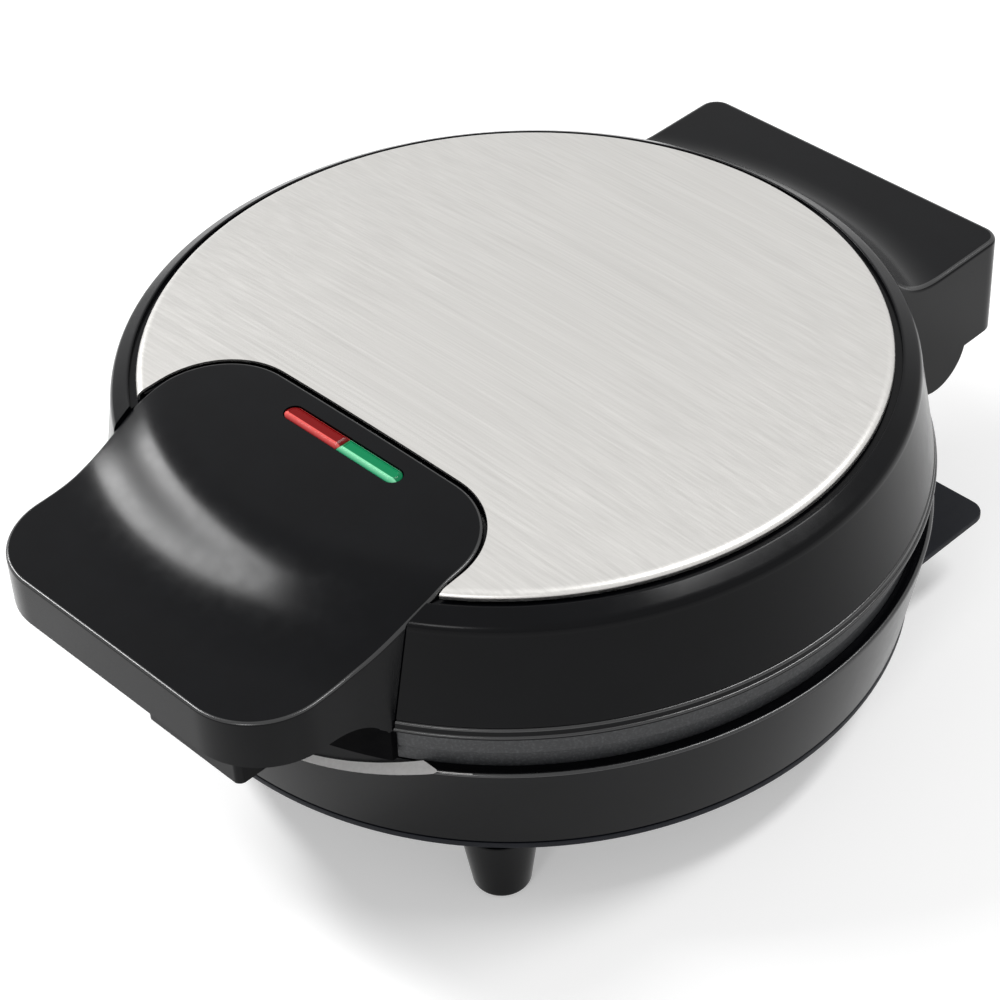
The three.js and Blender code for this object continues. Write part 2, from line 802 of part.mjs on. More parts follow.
function thermostat() {
  const top = lowerPlateBottomZ - touchGap;
  const body = disc(thermostatRadius, top - thermostatHeight, top, smallSegments);
  const flange = disc(
    thermostatFlangeRadius, top - thermostatFlangeThickness, top, smallSegments,
  );
  const bladeBottomZ = coverTopZ + bladeClearance;
  const blades = [-1, 1].map((side) => {
    const x = (side * thermostatRadius) / 2;
    return block(
      [x - bladeThickness / 2, -bladeWidth / 2, bladeBottomZ],
      [x + bladeThickness / 2, bladeWidth / 2, top - thermostatHeight / 2],
    );
  });
  return joined([body, flange, ...blades]);
}

const fuseRadius = 2.1;
const fuseLength = 13;
const fuseLeadRadius = 0.7;
const fuseLeadLength = 8;
const fuseY = -34;

function thermalFuse() {
  const floorZ = lowerPlateBottomZ - 2 * elementTubeRadius - 2 * touchGap - reflectorThickness;
  const z = floorZ - touchGap - fuseRadius;
  const half = fuseLength / 2;
  const body = crossRod(fuseY, z, -half, half, fuseRadius, smallSegments);
  const leadEnd = half + fuseLeadLength;
  const leads = crossRod(fuseY, z, -leadEnd, leadEnd, fuseLeadRadius, screwSides);
  return body.add(leads);
}

const terminalPoles = 3;
const terminalPitch = 11;
const terminalDepth = 16;
const terminalHeight = 9;
const terminalInset = 17;
const terminalY = rearEdgeY - terminalInset;
const terminalWireHole = 1.9;
const terminalNotchWidth = 2;
const terminalNotchDepth = 3;

function terminalBlock() {
  const length = terminalPoles * terminalPitch;
  const low = coverTopZ + touchGap;
  const top = low + terminalHeight;
  let body = block(
    [-length / 2, terminalY - terminalDepth / 2, low],
    [length / 2, terminalY + terminalDepth / 2, top],
  );
  for (let pole = 0; pole < terminalPoles; pole += 1) {
    const x = (pole - (terminalPoles - 1) / 2) * terminalPitch;
    body = body.subtract(lengthwise(
      circle(x, low + terminalHeight / 2.4, terminalWireHole, screwSides),
      terminalY - terminalDepth, terminalY + terminalDepth,
    ));
    const notchX = x + terminalPitch / 2;
    if (pole < terminalPoles - 1) {
      body = body.subtract(block(
        [notchX - terminalNotchWidth / 2, terminalY - terminalDepth, top - terminalNotchDepth],
        [notchX + terminalNotchWidth / 2, terminalY + terminalDepth, top + cutOverrun],
      ));
    }
  }
  return body;
}

const glandLap = 0.3;

function cordGland() {
  const ring = (radius, low, high) => lengthwise(circle(0, glandZ, radius, smallSegments), low, high);
  const wallInY = rearEdgeY - shellWall;
  const outerLowY = rearEdgeY + touchGap;
  const innerHighY = wallInY - touchGap;
  const outer = ring(glandFlangeRadius, outerLowY, outerLowY + glandFlangeThickness);
  const inner = ring(glandFlangeRadius, innerHighY - glandFlangeThickness, innerHighY);
  const neck = ring(glandRadius, innerHighY - glandLap, outerLowY + glandLap);
  const bore = ring(glandBoreRadius, wallInY - cutOverrun, rearEdgeY + cutOverrun);
  return joined([outer, inner, neck]).subtract(bore);
}

// Feet: tapered posts with a rounded end, screwed through the cover, each with a rubber pad

function foot() {
  const endRadius = footBottomRadius - footEndRound;
  const endZ = footStandOff + footEndRound;
  const profile = [
    point(0, footStandOff),
    point(endRadius, footStandOff),
    ...arc(endRadius, endZ, footEndRound, footEndRound, -45, 0, 1),
    point(footTopRadius, footHeight - touchGap),
    point(0, footHeight - touchGap),
  ];
  const body = revolved(profile, innerSegments / 2);
  const counterbore = disc(padRadius + touchGap, -cutOverrun, footScrewHeadZ, smallSegments);
  const hole = disc(screwHoleRadius, -cutOverrun, footHeight + cutOverrun, screwSides);
  return body.subtract(counterbore).subtract(hole);
}

function footPad() {
  return disc(padRadius, 0, padHeight, smallSegments);
}

// a pan-head screw whose head's underside is at z = 0 and whose shank rises to z = length
function screw(length, headRadius = screwHeadRadius) {
  const head = disc(headRadius, -screwHeadHeight, 0, screwSides);
  const shank = disc(screwRadius, -screwHeadHeight / 2, length, smallSegments / 2);
  const slotWidth = screwHeadHeight / 3;
  const slot = block(
    [-headRadius * 2, -slotWidth / 2, -screwHeadHeight * 2],
    [headRadius * 2, slotWidth / 2, -screwHeadHeight / 2],
  );
  return head.add(shank).subtract(slot);
}

// Lid housing: a drafted ring with a beaded hem, a sunk top, the hinge block and its lugs

const lampWindowGap = 0.9;
const handleBossRadius = 4;
const handleBossX = 27;
const handleBossInset = 6;
const handleBossY = handleWidestY + handleBossInset;

function lidOuterProfile() {
  const rimTopZ = lidTopZ - rimBelowCover;
  const rimFootZ = rimTopZ - rimRoundHeight;
  return [
    point(0, lidBottomZ),
    point(beadRadius - beadEdge, lidBottomZ),
    point(beadRadius, lidBottomZ + beadEdge),
    point(beadRadius - beadEdge, beadTopZ - beadEdge),
    point(lidWallBottomRadius, beadTopZ),
    ...arc(lidWallTopRadius - rimRoundWidth, rimFootZ, rimRoundWidth, rimRoundHeight, 0, 90, 4),
    point(grooveOuterRadius, rimTopZ - beadEdge),
    point(grooveOuterRadius, grooveFloorZ),
    point(coverPlateRadius - grooveWidth, grooveFloorZ),
    point(coverPlateRadius - grooveWidth, recessFloorZ),
    point(0, recessFloorZ),
  ];
}

function lidCavityProfile() {
  const rimFootZ = lidTopZ - rimBelowCover - rimRoundHeight;
  return [
    point(0, lidBottomZ - cutOverrun),
    point(lidWallBottomRadius - shellWall, lidBottomZ - cutOverrun),
    point(lidWallBottomRadius - shellWall, beadTopZ),
    point(lidWallTopRadius - shellWall, rimFootZ),
    point(coverPlateRadius - grooveWidth, grooveFloorZ - shellWall),
    point(coverPlateRadius - grooveWidth * 2, lidCeilingZ),
    point(0, lidCeilingZ),
  ];
}

function cubicPoints(start, first, second, end, segments) {
  const curve = new THREE.CubicBezierCurve(start, first, second, end);
  return curve.getPoints(segments);
}

const blockSweepInset = 7;
const blockSweepLength = 18;
const blockSweepStart = baseTopRadius - blockSweepInset;
const blockSweepEnd = blockSweepStart + blockSweepLength;
const blockSweepFirstShares = [0.25, 0.55];
const blockSweepSecondShares = [0.45, 0.97];

function sweepBetween(start, end, firstShares, secondShares, segments) {
  const at = ([along, down]) => point(
    start.x + (end.x - start.x) * along, start.y + (end.y - start.y) * down,
  );
  return cubicPoints(start, at(firstShares), at(secondShares), end, segments);
}

function hingeBlock() {
  const sweep = sweepBetween(
    point(blockSweepStart, lidTopZ - rimRoundHeight / 2),
    point(blockSweepEnd, hingeBlockTopZ),
    blockSweepFirstShares, blockSweepSecondShares, 5,
  );
  const reach = Math.hypot(hingeBlockRearY, hingeBlockHalfWidth) + cutOverrun;
  const under = revolved([
    point(0, hingeZ - hingeLugRadius - cutOverrun),
    point(reach, hingeZ - hingeLugRadius - cutOverrun),
    point(reach, hingeBlockTopZ),
    ...sweep.reverse(),
    point(0, lidTopZ - rimRoundHeight / 2),
  ], bodySegments);
  const plan = upright(roundedOutline([
    [hingeBlockHalfWidth, hingeBlockRearY, hingeBlockCorner],
    [-hingeBlockHalfWidth, hingeBlockRearY, hingeBlockCorner],
    [-hingeBlockHalfWidth, 0, 0],
    [hingeBlockHalfWidth, 0, 0],
  ]), hingeZ - hingeLugRadius - cutOverrun, lidTopZ);
  const side = crosswise([
    point(lugStartY, lidTopZ),
    point(lugStartY, hingeZ),
    ...arc(hingeY, hingeZ, hingeLugRadius, hingeLugRadius, 180, 345, smallSegments),
    point(hingeBlockRearY - hingeBlockChamfer, hingeBlockBottomZ),
    point(hingeBlockRearY, hingeBlockBottomZ + hingeBlockChamfer),
    point(hingeBlockRearY, lidTopZ),
  ], -hingeBlockHalfWidth, hingeBlockHalfWidth);
  const clearLowZ = hingeZ - hingeLugRadius - cutOverrun * 2;
  const bodyClearance = disc(baseTopRadius + touchGap, clearLowZ, lidBottomZ);
  return under.intersect(plan).intersect(side).subtract(bodyClearance);
}

function hingeBlockHollow() {
  return block(
    [-lugInnerX, 0, hingeZ - hingeLugRadius - cutOverrun * 2],
    [lugInnerX, hingeBlockRearY - shellWall, hingeBlockTopZ - shellWall],
  );
}

function handleOutline(offset) {
  return roundedOutline(mirroredCorners([
    [handleWaist + offset, handleFrontY - offset, handleFrontCorner],
    [handleWaist + offset, handleWaistY, handleSideRound],
    [handleWidest + offset, handleWidestY, handleSideRound / 2],
    [handleRearHalfWidth + offset, handleRearY + offset, handleRearCorner],
  ]), handleSegments);
}

function lampSlot(halfLengthLow, halfLengthHigh, margin) {
  const half = lampSlotWidth / 2 + margin;
  const low = halfLengthLow < 0 ? halfLengthLow - margin : halfLengthLow;
  const high = halfLengthHigh > 0 ? halfLengthHigh + margin : halfLengthHigh;
  const endRound = half / 1.01;
  return roundedOutline([
    [high, lampSlotY - half, high > 0 ? endRound : 0],
    [high, lampSlotY + half, high > 0 ? endRound : 0],
    [low, lampSlotY + half, low < 0 ? endRound : 0],
    [low, lampSlotY - half, low < 0 ? endRound : 0],
  ], 4);
}

function lidHousing() {
  const outer = revolved(lidOuterProfile(), bodySegments);
  const cavity = revolved(lidCavityProfile(), bodySegments);
  const hollow = hingeBlockHollow().subtract(outer);
  let housing = outer.add(hingeBlock()).subtract(cavity).subtract(hollow);

  for (const side of [-1, 1]) {
    const low = side > 0 ? lugInnerX - cutOverrun : -lugInnerX - hingePinDepthInLug - touchGap;
    const high = side > 0 ? lugInnerX + hingePinDepthInLug + touchGap : -lugInnerX + cutOverrun;
    housing = housing.subtract(crossRod(hingeY, hingeZ, low, high, hingePinRadius + pinGap));
  }

  for (const degrees of plateScrewDegrees) {
    const place = onCircle(upperScrewRadius, degrees);
    const bossBottomZ = upperPlateTopZ + plateBossHeight + touchGap;
    const head = recessFloorZ - screwHeadHeight - touchGap;
    const bossTopZ = lidCeilingZ + shellWall / 2;
    housing = housing.add(rod(place.x, place.y, bossBottomZ, bossTopZ, bossRadius));
    housing = housing.subtract(rod(
      place.x, place.y, bossBottomZ - cutOverrun, lidTopZ + cutOverrun, screwHoleRadius,
    ));
    housing = housing.subtract(rod(place.x, place.y, head, lidTopZ, screwHeadRadius + touchGap));
  }

  const notchLowZ = lidBottomZ - cutOverrun;
  const notchHighZ = lidTopZ + cutOverrun;
  const kept = disc(coverSeatRadius, notchLowZ - cutOverrun, notchHighZ + cutOverrun);
  const notch = upright(handleOutline(touchGap), notchLowZ, notchHighZ);
  housing = housing.subtract(notch.subtract(kept));

  const window = upright(
    lampSlot(-lampSlotLength / 2, lampSlotLength / 2, lampWindowGap),
    lidCeilingZ - cutOverrun, lidTopZ,
  );
  housing = housing.subtract(window);
  for (const side of [-1, 1]) {
    housing = housing.subtract(rod(
      side * handleBossX, handleBossY, lidCeilingZ - cutOverrun, lidTopZ, handleBossRadius + touchGap,
    ));
  }
  return housing;
}

const crownSteps = 3;

// a shallow dome's profile from the axis outwards, without its last point
function crownPoints(radius, z, height, steps) {
  const points = [];
  for (let step = 0; step < steps; step += 1) {
    const share = step / steps;
    points.push(point(radius * share, z + height * (1 - share * share)));
  }
  return points;
}

function coverPlate() {
  const skirtZ = lidTopZ - coverPlateSkirt;
  const round = coverPlateEdgeRound;
  const inner = coverPlateEdgeRound - coverPlateThickness;
  const flatRadius = coverPlateRadius - round;
  const plate = revolved([
    ...crownPoints(flatRadius, lidTopZ - coverPlateThickness, coverPlateCrown, crownSteps - 1),
    ...arc(flatRadius, lidTopZ - round, inner, inner, 90, 0, 2),
    point(coverPlateRadius - coverPlateThickness, skirtZ),
    point(coverPlateRadius, skirtZ),
    ...arc(flatRadius, lidTopZ - round, round, round, 0, 90, 3),
    ...crownPoints(flatRadius, lidTopZ, coverPlateCrown, crownSteps).reverse(),
  ], bodySegments);
  const lobe = upright(
    handleOutline(lobeGap), grooveFloorZ - cutOverrun, lidTopZ + coverPlateCrown + cutOverrun,
  );
  return plate.subtract(lobe);
}

// Handle: a broad shell whose top is swept round the body axis, from the lobe down to the grip

const handleTopFirstShares = [0.333, 0.1];
const handleTopSecondShares = [0.458, 0.95];

function handleTopProfile(drop, steps) {
  const start = point(sweepStartRadius, lobeTopZ - drop);
  const end = point(sweepEndRadius, gripTopZ - drop);
  const reach = Math.hypot(handleFrontY, handleWaist) + cutOverrun;
  return [
    ...crownPoints(sweepStartRadius, lobeTopZ - drop, lobeCrown, crownSteps),
    ...sweepBetween(start, end, handleTopFirstShares, handleTopSecondShares, steps),
    point(reach, gripTopZ - gripFall - drop),
  ];
}

function underHandleTop(drop, steps, segments) {
  const top = handleTopProfile(drop, steps);
  const reach = top[top.length - 1].x;
  const floorZ = rootBottomZ - rootFillet * 2 - cutOverrun;
  return revolved([point(0, floorZ), point(reach, floorZ), ...top.reverse()], segments);
}

function handle() {
  const outline = handleOutline(0);
  const sweptTop = underHandleTop(0, 8, bodySegments * 1.5);
  const aboveZ = lobeTopZ + lobeCrown + cutOverrun;
  const whole = upright(outline, rootBottomZ, aboveZ).intersect(sweptTop);

  const archHalf = handleWidest + cutOverrun;
  const archTopZ = gripTopZ - gripFall - skirtFrontHeight;
  const rise = (x) => archTopZ - skirtArch * (x / handleWaist) * (x / handleWaist);
  const archPoints = [];
  const archSteps = 8;
  for (let step = 0; step <= archSteps; step += 1) {
    const x = archHalf - (2 * archHalf * step) / archSteps;
    archPoints.push(point(x, rise(x)));
  }
  const below = lidBottomZ - rootFillet * 2;
  const arch = lengthwise(
    [point(-archHalf, below), point(archHalf, below), ...archPoints],
    handleFrontY - cutOverrun, rootY,
  );
  const roundTopZ = archTopZ + cutOverrun;
  const rounded = crosswise([
    point(handleFrontY - cutOverrun, below),
    point(rootY, below),
    ...arc(rootY - rootFillet, rise(handleWaist) - rootFillet, rootFillet, rootFillet, 0, 60, 6),
    point(rootY - rootFillet * 1.2, roundTopZ),
    point(handleFrontY - cutOverrun, roundTopZ),
  ], -archHalf, archHalf);
  const outsideBody = disc(beadRadius + touchGap, below - cutOverrun, lobeTopZ);
  const underside = arch.intersect(rounded).subtract(outsideBody.intersect(
    block([-archHalf * 2, -archHalf * 4, below], [archHalf * 2, 0, lobeTopZ]),
  ));

    const sweptInside = underHandleTop(handleWall, 5, bodySegments);
  const inside = upright(handleOutline(-handleWall), below, aboveZ).intersect(sweptInside);
  const gripHollow = inside.subtract(disc(beadRadius, below - cutOverrun, aboveZ + cutOverrun));
  const lidHollow = inside.intersect(disc(beadRadius - rootWall, below, aboveZ));
  const plateClearance = joined([
    disc(upperStepRadius + touchGap, below, upperRimTopZ + upperStepHeight + touchGap),
    disc(drumRadius + touchGap, below, upperPlateTopZ + touchGap),
  ]);
  const seat = disc(coverSeatRadius + touchGap, below, recessFloorZ + touchGap);
  let body = whole.subtract(underside).subtract(gripHollow).subtract(lidHollow)
    .subtract(plateClearance).subtract(seat);

  for (const side of [-1, 1]) {
    body = body.add(rod(
      side * handleBossX, handleBossY, lidCeilingZ, lobeTopZ - lobeStand, handleBossRadius,
    ));
    body = body.subtract(rod(
      side * handleBossX, handleBossY, lidCeilingZ - cutOverrun, recessFloorZ + touchGap, pilotRadius,
    ));
  }
  const slot = upright(
    lampSlot(-lampSlotLength / 2, lampSlotLength / 2, lensGap),
    recessFloorZ - cutOverrun, aboveZ,
  );
  return body.subtract(slot);
}

const lampHolderWall = 1.6;
const lampHolderDepth = 11;
const lampHolderHalfWidth = 5.2;
const lampHolderEnd = 3;
const lampRadius = 2.6;
const lampEndGap = 3.9;
const lampTipLength = 1;

function lens(side) {
  const low = side < 0 ? -lampSlotLength / 2 : lensGap / 2;
  const high = side < 0 ? -lensGap / 2 : lampSlotLength / 2;
  const along = lampSlotY / sweepStartRadius;
  const lobeZ = lobeTopZ + lobeCrown * (1 - along * along);
  return upright(lampSlot(low, high, 0), lidCeilingZ, lobeZ + lensStand);
}

function lampHolder() {
  const top = lidCeilingZ - touchGap;
  const half = lampSlotLength / 2 + lampHolderEnd;
  let body = block(
    [-half, lampSlotY - lampHolderHalfWidth, top - lampHolderDepth],
    [half, lampSlotY + lampHolderHalfWidth, top],
  );
  const innerHalfWidth = lampHolderHalfWidth - lampHolderWall;
  const floorZ = top - lampHolderDepth + lampHolderWall;
  for (const side of [-1, 1]) {
    const inner = side * lampHolderWall;
    const outer = side * (lampSlotLength / 2 - lampHolderWall);
    body = body.subtract(block(
      [Math.min(inner, outer), lampSlotY - innerHalfWidth, floorZ],
      [Math.max(inner, outer), lampSlotY + innerHalfWidth, top + cutOverrun],
    ));
  }
  return body;
}

function lamp(side) {
  const z = lidCeilingZ - lampHolderDepth + lampHolderWall + lampRadius;
  const middle = (side * lampSlotLength) / 4;
  const half = (lampSlotLength / 2 - 2 * lampHolderWall - lampEndGap) / 2;
  const body = crossRod(lampSlotY, z, -half, half, lampRadius);
  const tip = crossRod(lampSlotY, z, 0, half + lampTipLength, lampRadius / 2, smallSegments / 2);
  return body.add(tip).scale([side, 1, 1]).translate([middle, 0, 0]);
}

function hingePin(side) {
  const end = lugInnerX + hingePinDepthInLug;
  const headOuterX = earInnerX - touchGap;
  const headInnerX = headOuterX - hingePinHeadThickness;
  const shank = crossRod(0, 0, headInnerX, end, hingePinRadius, innerSegments / 2);
  const head = crossRod(0, 0, headInnerX, headOuterX, hingePinHeadRadius, innerSegments / 2);
  return shank.add(head).scale([side, 1, 1]);
}

// Each piece is a mesh with its name, finish and place

const group = new THREE.Group();
const base = new THREE.Group();
const lid = new THREE.Group();
group.add(base, lid);

function addPart(parent, name, solid, material) {
  const mesh = new THREE.Mesh(geometryOf(solid), material);
  mesh.name = name;
  parent.add(mesh);
  return mesh;
}

addPart(base, 'base_housing', baseHousing(), glossBlack);
addPart(base, 'base_bottom_cover', bottomCover(), coverBlack);
addPart(base, 'lower_cooking_plate', lowerPlate(), nonStick);
addPart(base, 'lower_heating_element', heatingElement(lowerElementZ, -1), elementSteel);
addPart(base, 'lower_heat_reflector', reflector(lowerPlateBottomZ, -1), pressedSteel);
addPart(base, 'thermostat', thermostat(), satinBlack);
addPart(base, 'thermal_fuse', thermalFuse(), ceramic);
addPart(base, 'terminal_block', terminalBlock(), ceramic);
addPart(base, 'cord_gland', cordGland(), footRubber);

for (const [corner, place] of Object.entries(footPlaces())) {
  const post = addPart(base, `${corner}_foot`, foot(), glossBlack);
  post.position.set(place.x, place.y, 0);
  const pad = addPart(base, `${corner}_foot_pad`, footPad(), footRubber);
  pad.position.set(place.x, place.y, 0);
  const fastener = addPart(base, `${corner}_foot_screw`, screw(footScrewLength), screwSteel);
  fastener.position.set(place.x, place.y, footScrewHeadZ - touchGap);
}

plateScrewDegrees.forEach((degrees, i) => {
  const place = onCircle(plateScrewRadius, degrees);
  const fastener = addPart(
    base, `lower_plate_screw_${i + 1}`, screw(plateArmThickness + plateBossHeight), screwSteel,
  );
  fastener.position.set(place.x, place.y, plateArmTopZ - plateArmThickness - touchGap);
});

for (const [name, side] of [['hinge_pin_left', -1], ['hinge_pin_right', 1]]) {
  const pin = addPart(base, name, hingePin(side), screwSteel);
  pin.position.set(0, hingeY, hingeZ);
}

addPart(lid, 'lid_housing', lidHousing(), glossBlack);
addPart(lid, 'lid_cover_plate', coverPlate(), brushedSteel);
addPart(lid, 'handle', handle(), glossBlack);
addPart(lid, 'power_lamp_lens', lens(-1), redLens);
addPart(lid, 'ready_lamp_lens', lens(1), greenLens);
addPart(lid, 'power_lamp', lamp(-1), lampGlass);
addPart(lid, 'ready_lamp', lamp(1), lampGlass);
addPart(lid, 'lamp_holder', lampHolder(), ceramic);
addPart(lid, 'upper_cooking_plate', upperPlate(), nonStick);
// the upper element's cold ends turn up behind the lamps, on the hinge side
const upperElement = heatingElement(upperElementZ, 1).rotate([0, 0, 180]);
const upperReflector = reflector(upperPlateTopZ, 1).rotate([0, 0, 180]);
addPart(lid, 'upper_heating_element', upperElement, elementSteel);
addPart(lid, 'upper_heat_reflector', upperReflector, pressedSteel);

plateScrewDegrees.forEach((degrees, i) => {
  const place = onCircle(upperScrewRadius, degrees);
  const length = recessFloorZ - screwHeadHeight - upperPlateTopZ - touchGap;
  const fastener = addPart(lid, `upper_plate_screw_${i + 1}`, screw(length), screwSteel);
  fastener.position.set(place.x, place.y, recessFloorZ - screwHeadHeight);
  fastener.rotation.x = Math.PI;
});

const handleScrewHeadRadius = 6;
for (const [name, side] of [['handle_screw_left', -1], ['handle_screw_right', 1]]) {
  const fastener = addPart(lid, name, screw(shellWall, handleScrewHeadRadius), screwSteel);
  fastener.position.set(side * handleBossX, handleBossY, lidCeilingZ - touchGap);
}

export default group;
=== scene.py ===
"""Looks of a round countertop sandwich maker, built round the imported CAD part.

The pieces' lengths are millimetres in the CAD frame; MM turns them into metres.
"""

import json
import math

import bmesh
import bpy
from mathutils import Matrix, Quaternion, Vector


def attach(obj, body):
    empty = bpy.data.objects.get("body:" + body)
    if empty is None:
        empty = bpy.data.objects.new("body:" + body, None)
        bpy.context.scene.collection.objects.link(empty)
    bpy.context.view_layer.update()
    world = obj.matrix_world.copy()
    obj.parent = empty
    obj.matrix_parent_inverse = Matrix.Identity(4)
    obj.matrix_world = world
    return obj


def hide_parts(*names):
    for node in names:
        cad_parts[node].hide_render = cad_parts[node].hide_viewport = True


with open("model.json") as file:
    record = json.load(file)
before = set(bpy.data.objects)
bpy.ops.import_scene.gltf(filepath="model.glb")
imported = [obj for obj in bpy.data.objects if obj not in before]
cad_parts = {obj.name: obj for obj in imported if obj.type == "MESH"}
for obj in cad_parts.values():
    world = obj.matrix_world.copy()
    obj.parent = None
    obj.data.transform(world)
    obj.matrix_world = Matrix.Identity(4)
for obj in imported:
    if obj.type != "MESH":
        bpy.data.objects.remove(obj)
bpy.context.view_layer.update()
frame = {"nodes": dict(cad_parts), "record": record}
nodes = frame["nodes"]

MM = 0.001
GAP = 0.3
OVER = 4

# Sizes that several pieces use, most of them the CAD part's own
SHELL_WALL = 2.4
COVER_BOTTOM_Z, COVER_TOP_Z = 21.6, 23.4
BASE_BOTTOM_Z, BASE_TOP_Z = 23.7, 52.2
BASE_TOP_R, BASE_BOTTOM_R = 108.0, 102.8
REAR_EDGE_Y = 100.5
REAR_FLAT_TOP_Z = 38.7
LOWER_RIM_R, LOWER_RIM_TOP_Z, LOWER_RIM_BOTTOM_Z = 104.3, 56.3, 51.9
LOWER_PLATE_BOTTOM_Z = 44.3
UPPER_RIM_R, UPPER_RIM_BOTTOM_Z, UPPER_RIM_TOP_Z = 105.3, 56.6, 61.8
UPPER_STEP_R, UPPER_STEP_TOP_Z = 103.9, 65.4
UPPER_PLATE_TOP_Z = 68.6
DRUM_R = 98.5
POCKET_R, RIDGE, POCKET_CORNER = 94.5, 7.0, 9.0
LID_BOTTOM_Z, LID_TOP_Z = 63.6, 98.7
BEAD_R, BEAD_TOP_Z = 107.9, 66.8
WALL_BOTTOM_R, WALL_TOP_R = 107.0, 102.9
RIM_H, RIM_TOP_Z = 6.8, 96.9
STEEL_R, STEEL_T, STEEL_CROWN = 95.7, 0.7, 3.0
GROOVE_OUT_R, GROOVE_IN_R, GROOVE_Z = 97.6, 93.8, 95.8
RECESS_Z, CEILING_Z = 97.7, 95.3
LOBE_Z, LOBE_CROWN, LOBE_GAP, GRIP_Z = 98.9, 2.5, 1.0, 87.3
LAMP_Y, LAMP_HALF_WIDTH = -58.6, 2.45
LENS_FRONT_Y, LENS_REAR_Y = LAMP_Y - LAMP_HALF_WIDTH, LAMP_Y + LAMP_HALF_WIDTH
HINGE_Y, HINGE_Z, LUG_R = 108.6, 58.0, 12.0
BLOCK_REAR_Y, BLOCK_HALF, BLOCK_TOP_Z, BLOCK_BOTTOM_Z = 134.4, 52.3, 84.6, 55.0
PIN_HOLE_R, LUG_IN_X, LUG_OUT_X, EAR_IN_X, EAR_OUT_X, EAR_R = 2.95, 42.3, 50.6, 39.0, 46.0, 8.6
PLATE_SPACE_R = 104.6
HANDLE_SEAT_R, HANDLE_SEAT_IN_R = 91.4, 91.7
SLOT_END_X, LENS_SPLIT_X = 20.1, 0.1
ROUND_STEPS = 288


# Outlines

def arc(cx, cy, rx, ry, start, end, steps):
    angles = [math.radians(start + (end - start) * i / steps) for i in range(steps + 1)]
    return [(cx + rx * math.cos(a), cy + ry * math.sin(a)) for a in angles]


def rounded(corners, steps=8):
    """The outline through corners (x, y, radius); radius 0 stays sharp."""
    points = []
    for i, (x, y, radius) in enumerate(corners):
        here = Vector((x, y))
        if radius == 0:
            points.append((x, y))
            continue
        back = (Vector(corners[i - 1][:2]) - here).normalized()
        ahead = (Vector(corners[(i + 1) % len(corners)][:2]) - here).normalized()
        half = math.acos(max(-1, min(1, back.dot(ahead)))) / 2
        centre = here + (back + ahead).normalized() * (radius / math.sin(half))
        first = here + back * (radius / math.tan(half)) - centre
        last = here + ahead * (radius / math.tan(half)) - centre
        turn = math.atan2(first.x * last.y - first.y * last.x, first.dot(last))
        for step in range(steps + 1):
            a = turn * step / steps
            points.append((
                centre.x + first.x * math.cos(a) - first.y * math.sin(a),
                centre.y + first.x * math.sin(a) + first.y * math.cos(a),
            ))
    return points


def mirrored(half):
    return half + [(-x, *rest) for x, *rest in reversed(half)]


def spaced(points, spacing):
    """The open line resampled at even steps, with its two ends kept."""
    lengths = [0.0]
    for a, b in zip(points, points[1:]):
        lengths.append(lengths[-1] + math.dist(a, b))
    count = max(2, round(lengths[-1] / spacing))
    result, at = [], 0
    for i in range(count + 1):
        want = lengths[-1] * i / count
        while at < len(points) - 2 and lengths[at + 1] < want:
            at += 1
        share = (want - lengths[at]) / max(1e-9, lengths[at + 1] - lengths[at])
        a, b = points[at], points[at + 1]
        result.append((a[0] + (b[0] - a[0]) * share, a[1] + (b[1] - a[1]) * share))
    return result


def symmetric_outline(half_corners, spacing=1.2, steps=24):
    """A closed outline, alike on both sides of x = 0, from the corners on its +X side, front to rear."""
    whole = rounded(mirrored(half_corners), steps)
    side = whole[: len(whole) // 2]
    side = spaced([(0.0, side[0][1]), *side, (0.0, side[-1][1])], spacing)
    return side + [(-x, y) for x, y in reversed(side[1:-1])]


# Forms: (points, faces)

def skin(loops, closed_ends=(True, True)):
    """Loops of equal length joined in order; closed_ends says which of the two ends get a face."""
    count = len(loops[0])
    points = [p for loop in loops for p in loop]
    faces = []
    for row in range(len(loops) - 1):
        for i in range(count):
            j = (i + 1) % count
            a, b = row * count, (row + 1) * count
            faces.append((a + i, a + j, b + j, b + i))
    if closed_ends[0]:
        faces.append(tuple(reversed(range(count))))
    if closed_ends[1]:
        last = (len(loops) - 1) * count
        faces.append(tuple(range(last, last + count)))
    return points, faces


def revolved(profile, steps=ROUND_STEPS, ring=False):
    """A profile of (radius, z) turned about the body axis, closed on the axis or, for a ring, on itself."""
    turns = [2 * math.pi * i / steps for i in range(steps)]
    line = [*profile, profile[0]] if ring else profile
    loops = [[(r * math.cos(a), r * math.sin(a), z) for a in turns] for r, z in line]
    return skin(loops, (False, False))


def prism(outline, axis, low, high):
    """An outline pushed along an axis: z takes (x, y), x takes (y, z) and y takes (x, z)."""
    place = {
        "z": lambda u, v, w: (u, v, w),
        "x": lambda u, v, w: (w, u, v),
        "y": lambda u, v, w: (u, w, v),
    }[axis]
    return skin([[place(u, v, w) for u, v in outline] for w in (low, high)])


def box(low, high):
    (x0, y0, z0), (x1, y1, z1) = low, high
    return prism([(x0, y0), (x1, y0), (x1, y1), (x0, y1)], "z", z0, z1)


def cylinder(x, y, radius, low, high, steps=48):
    return prism(arc(x, y, radius, radius, 0, 360 - 360 / steps, steps - 1), "z", low, high)


def inward(outline):
    """The inward direction at each point of a counter-clockwise outline."""
    result = []
    for i in range(len(outline)):
        (ax, ay), (bx, by) = outline[i - 1], outline[(i + 1) % len(outline)]
        length = math.hypot(bx - ax, by - ay)
        result.append((-(by - ay) / length, (bx - ax) / length))
    return result


def inset(outline, distance):
    return [(x + nx * distance, y + ny * distance) for (x, y), (nx, ny) in zip(outline, inward(outline))]


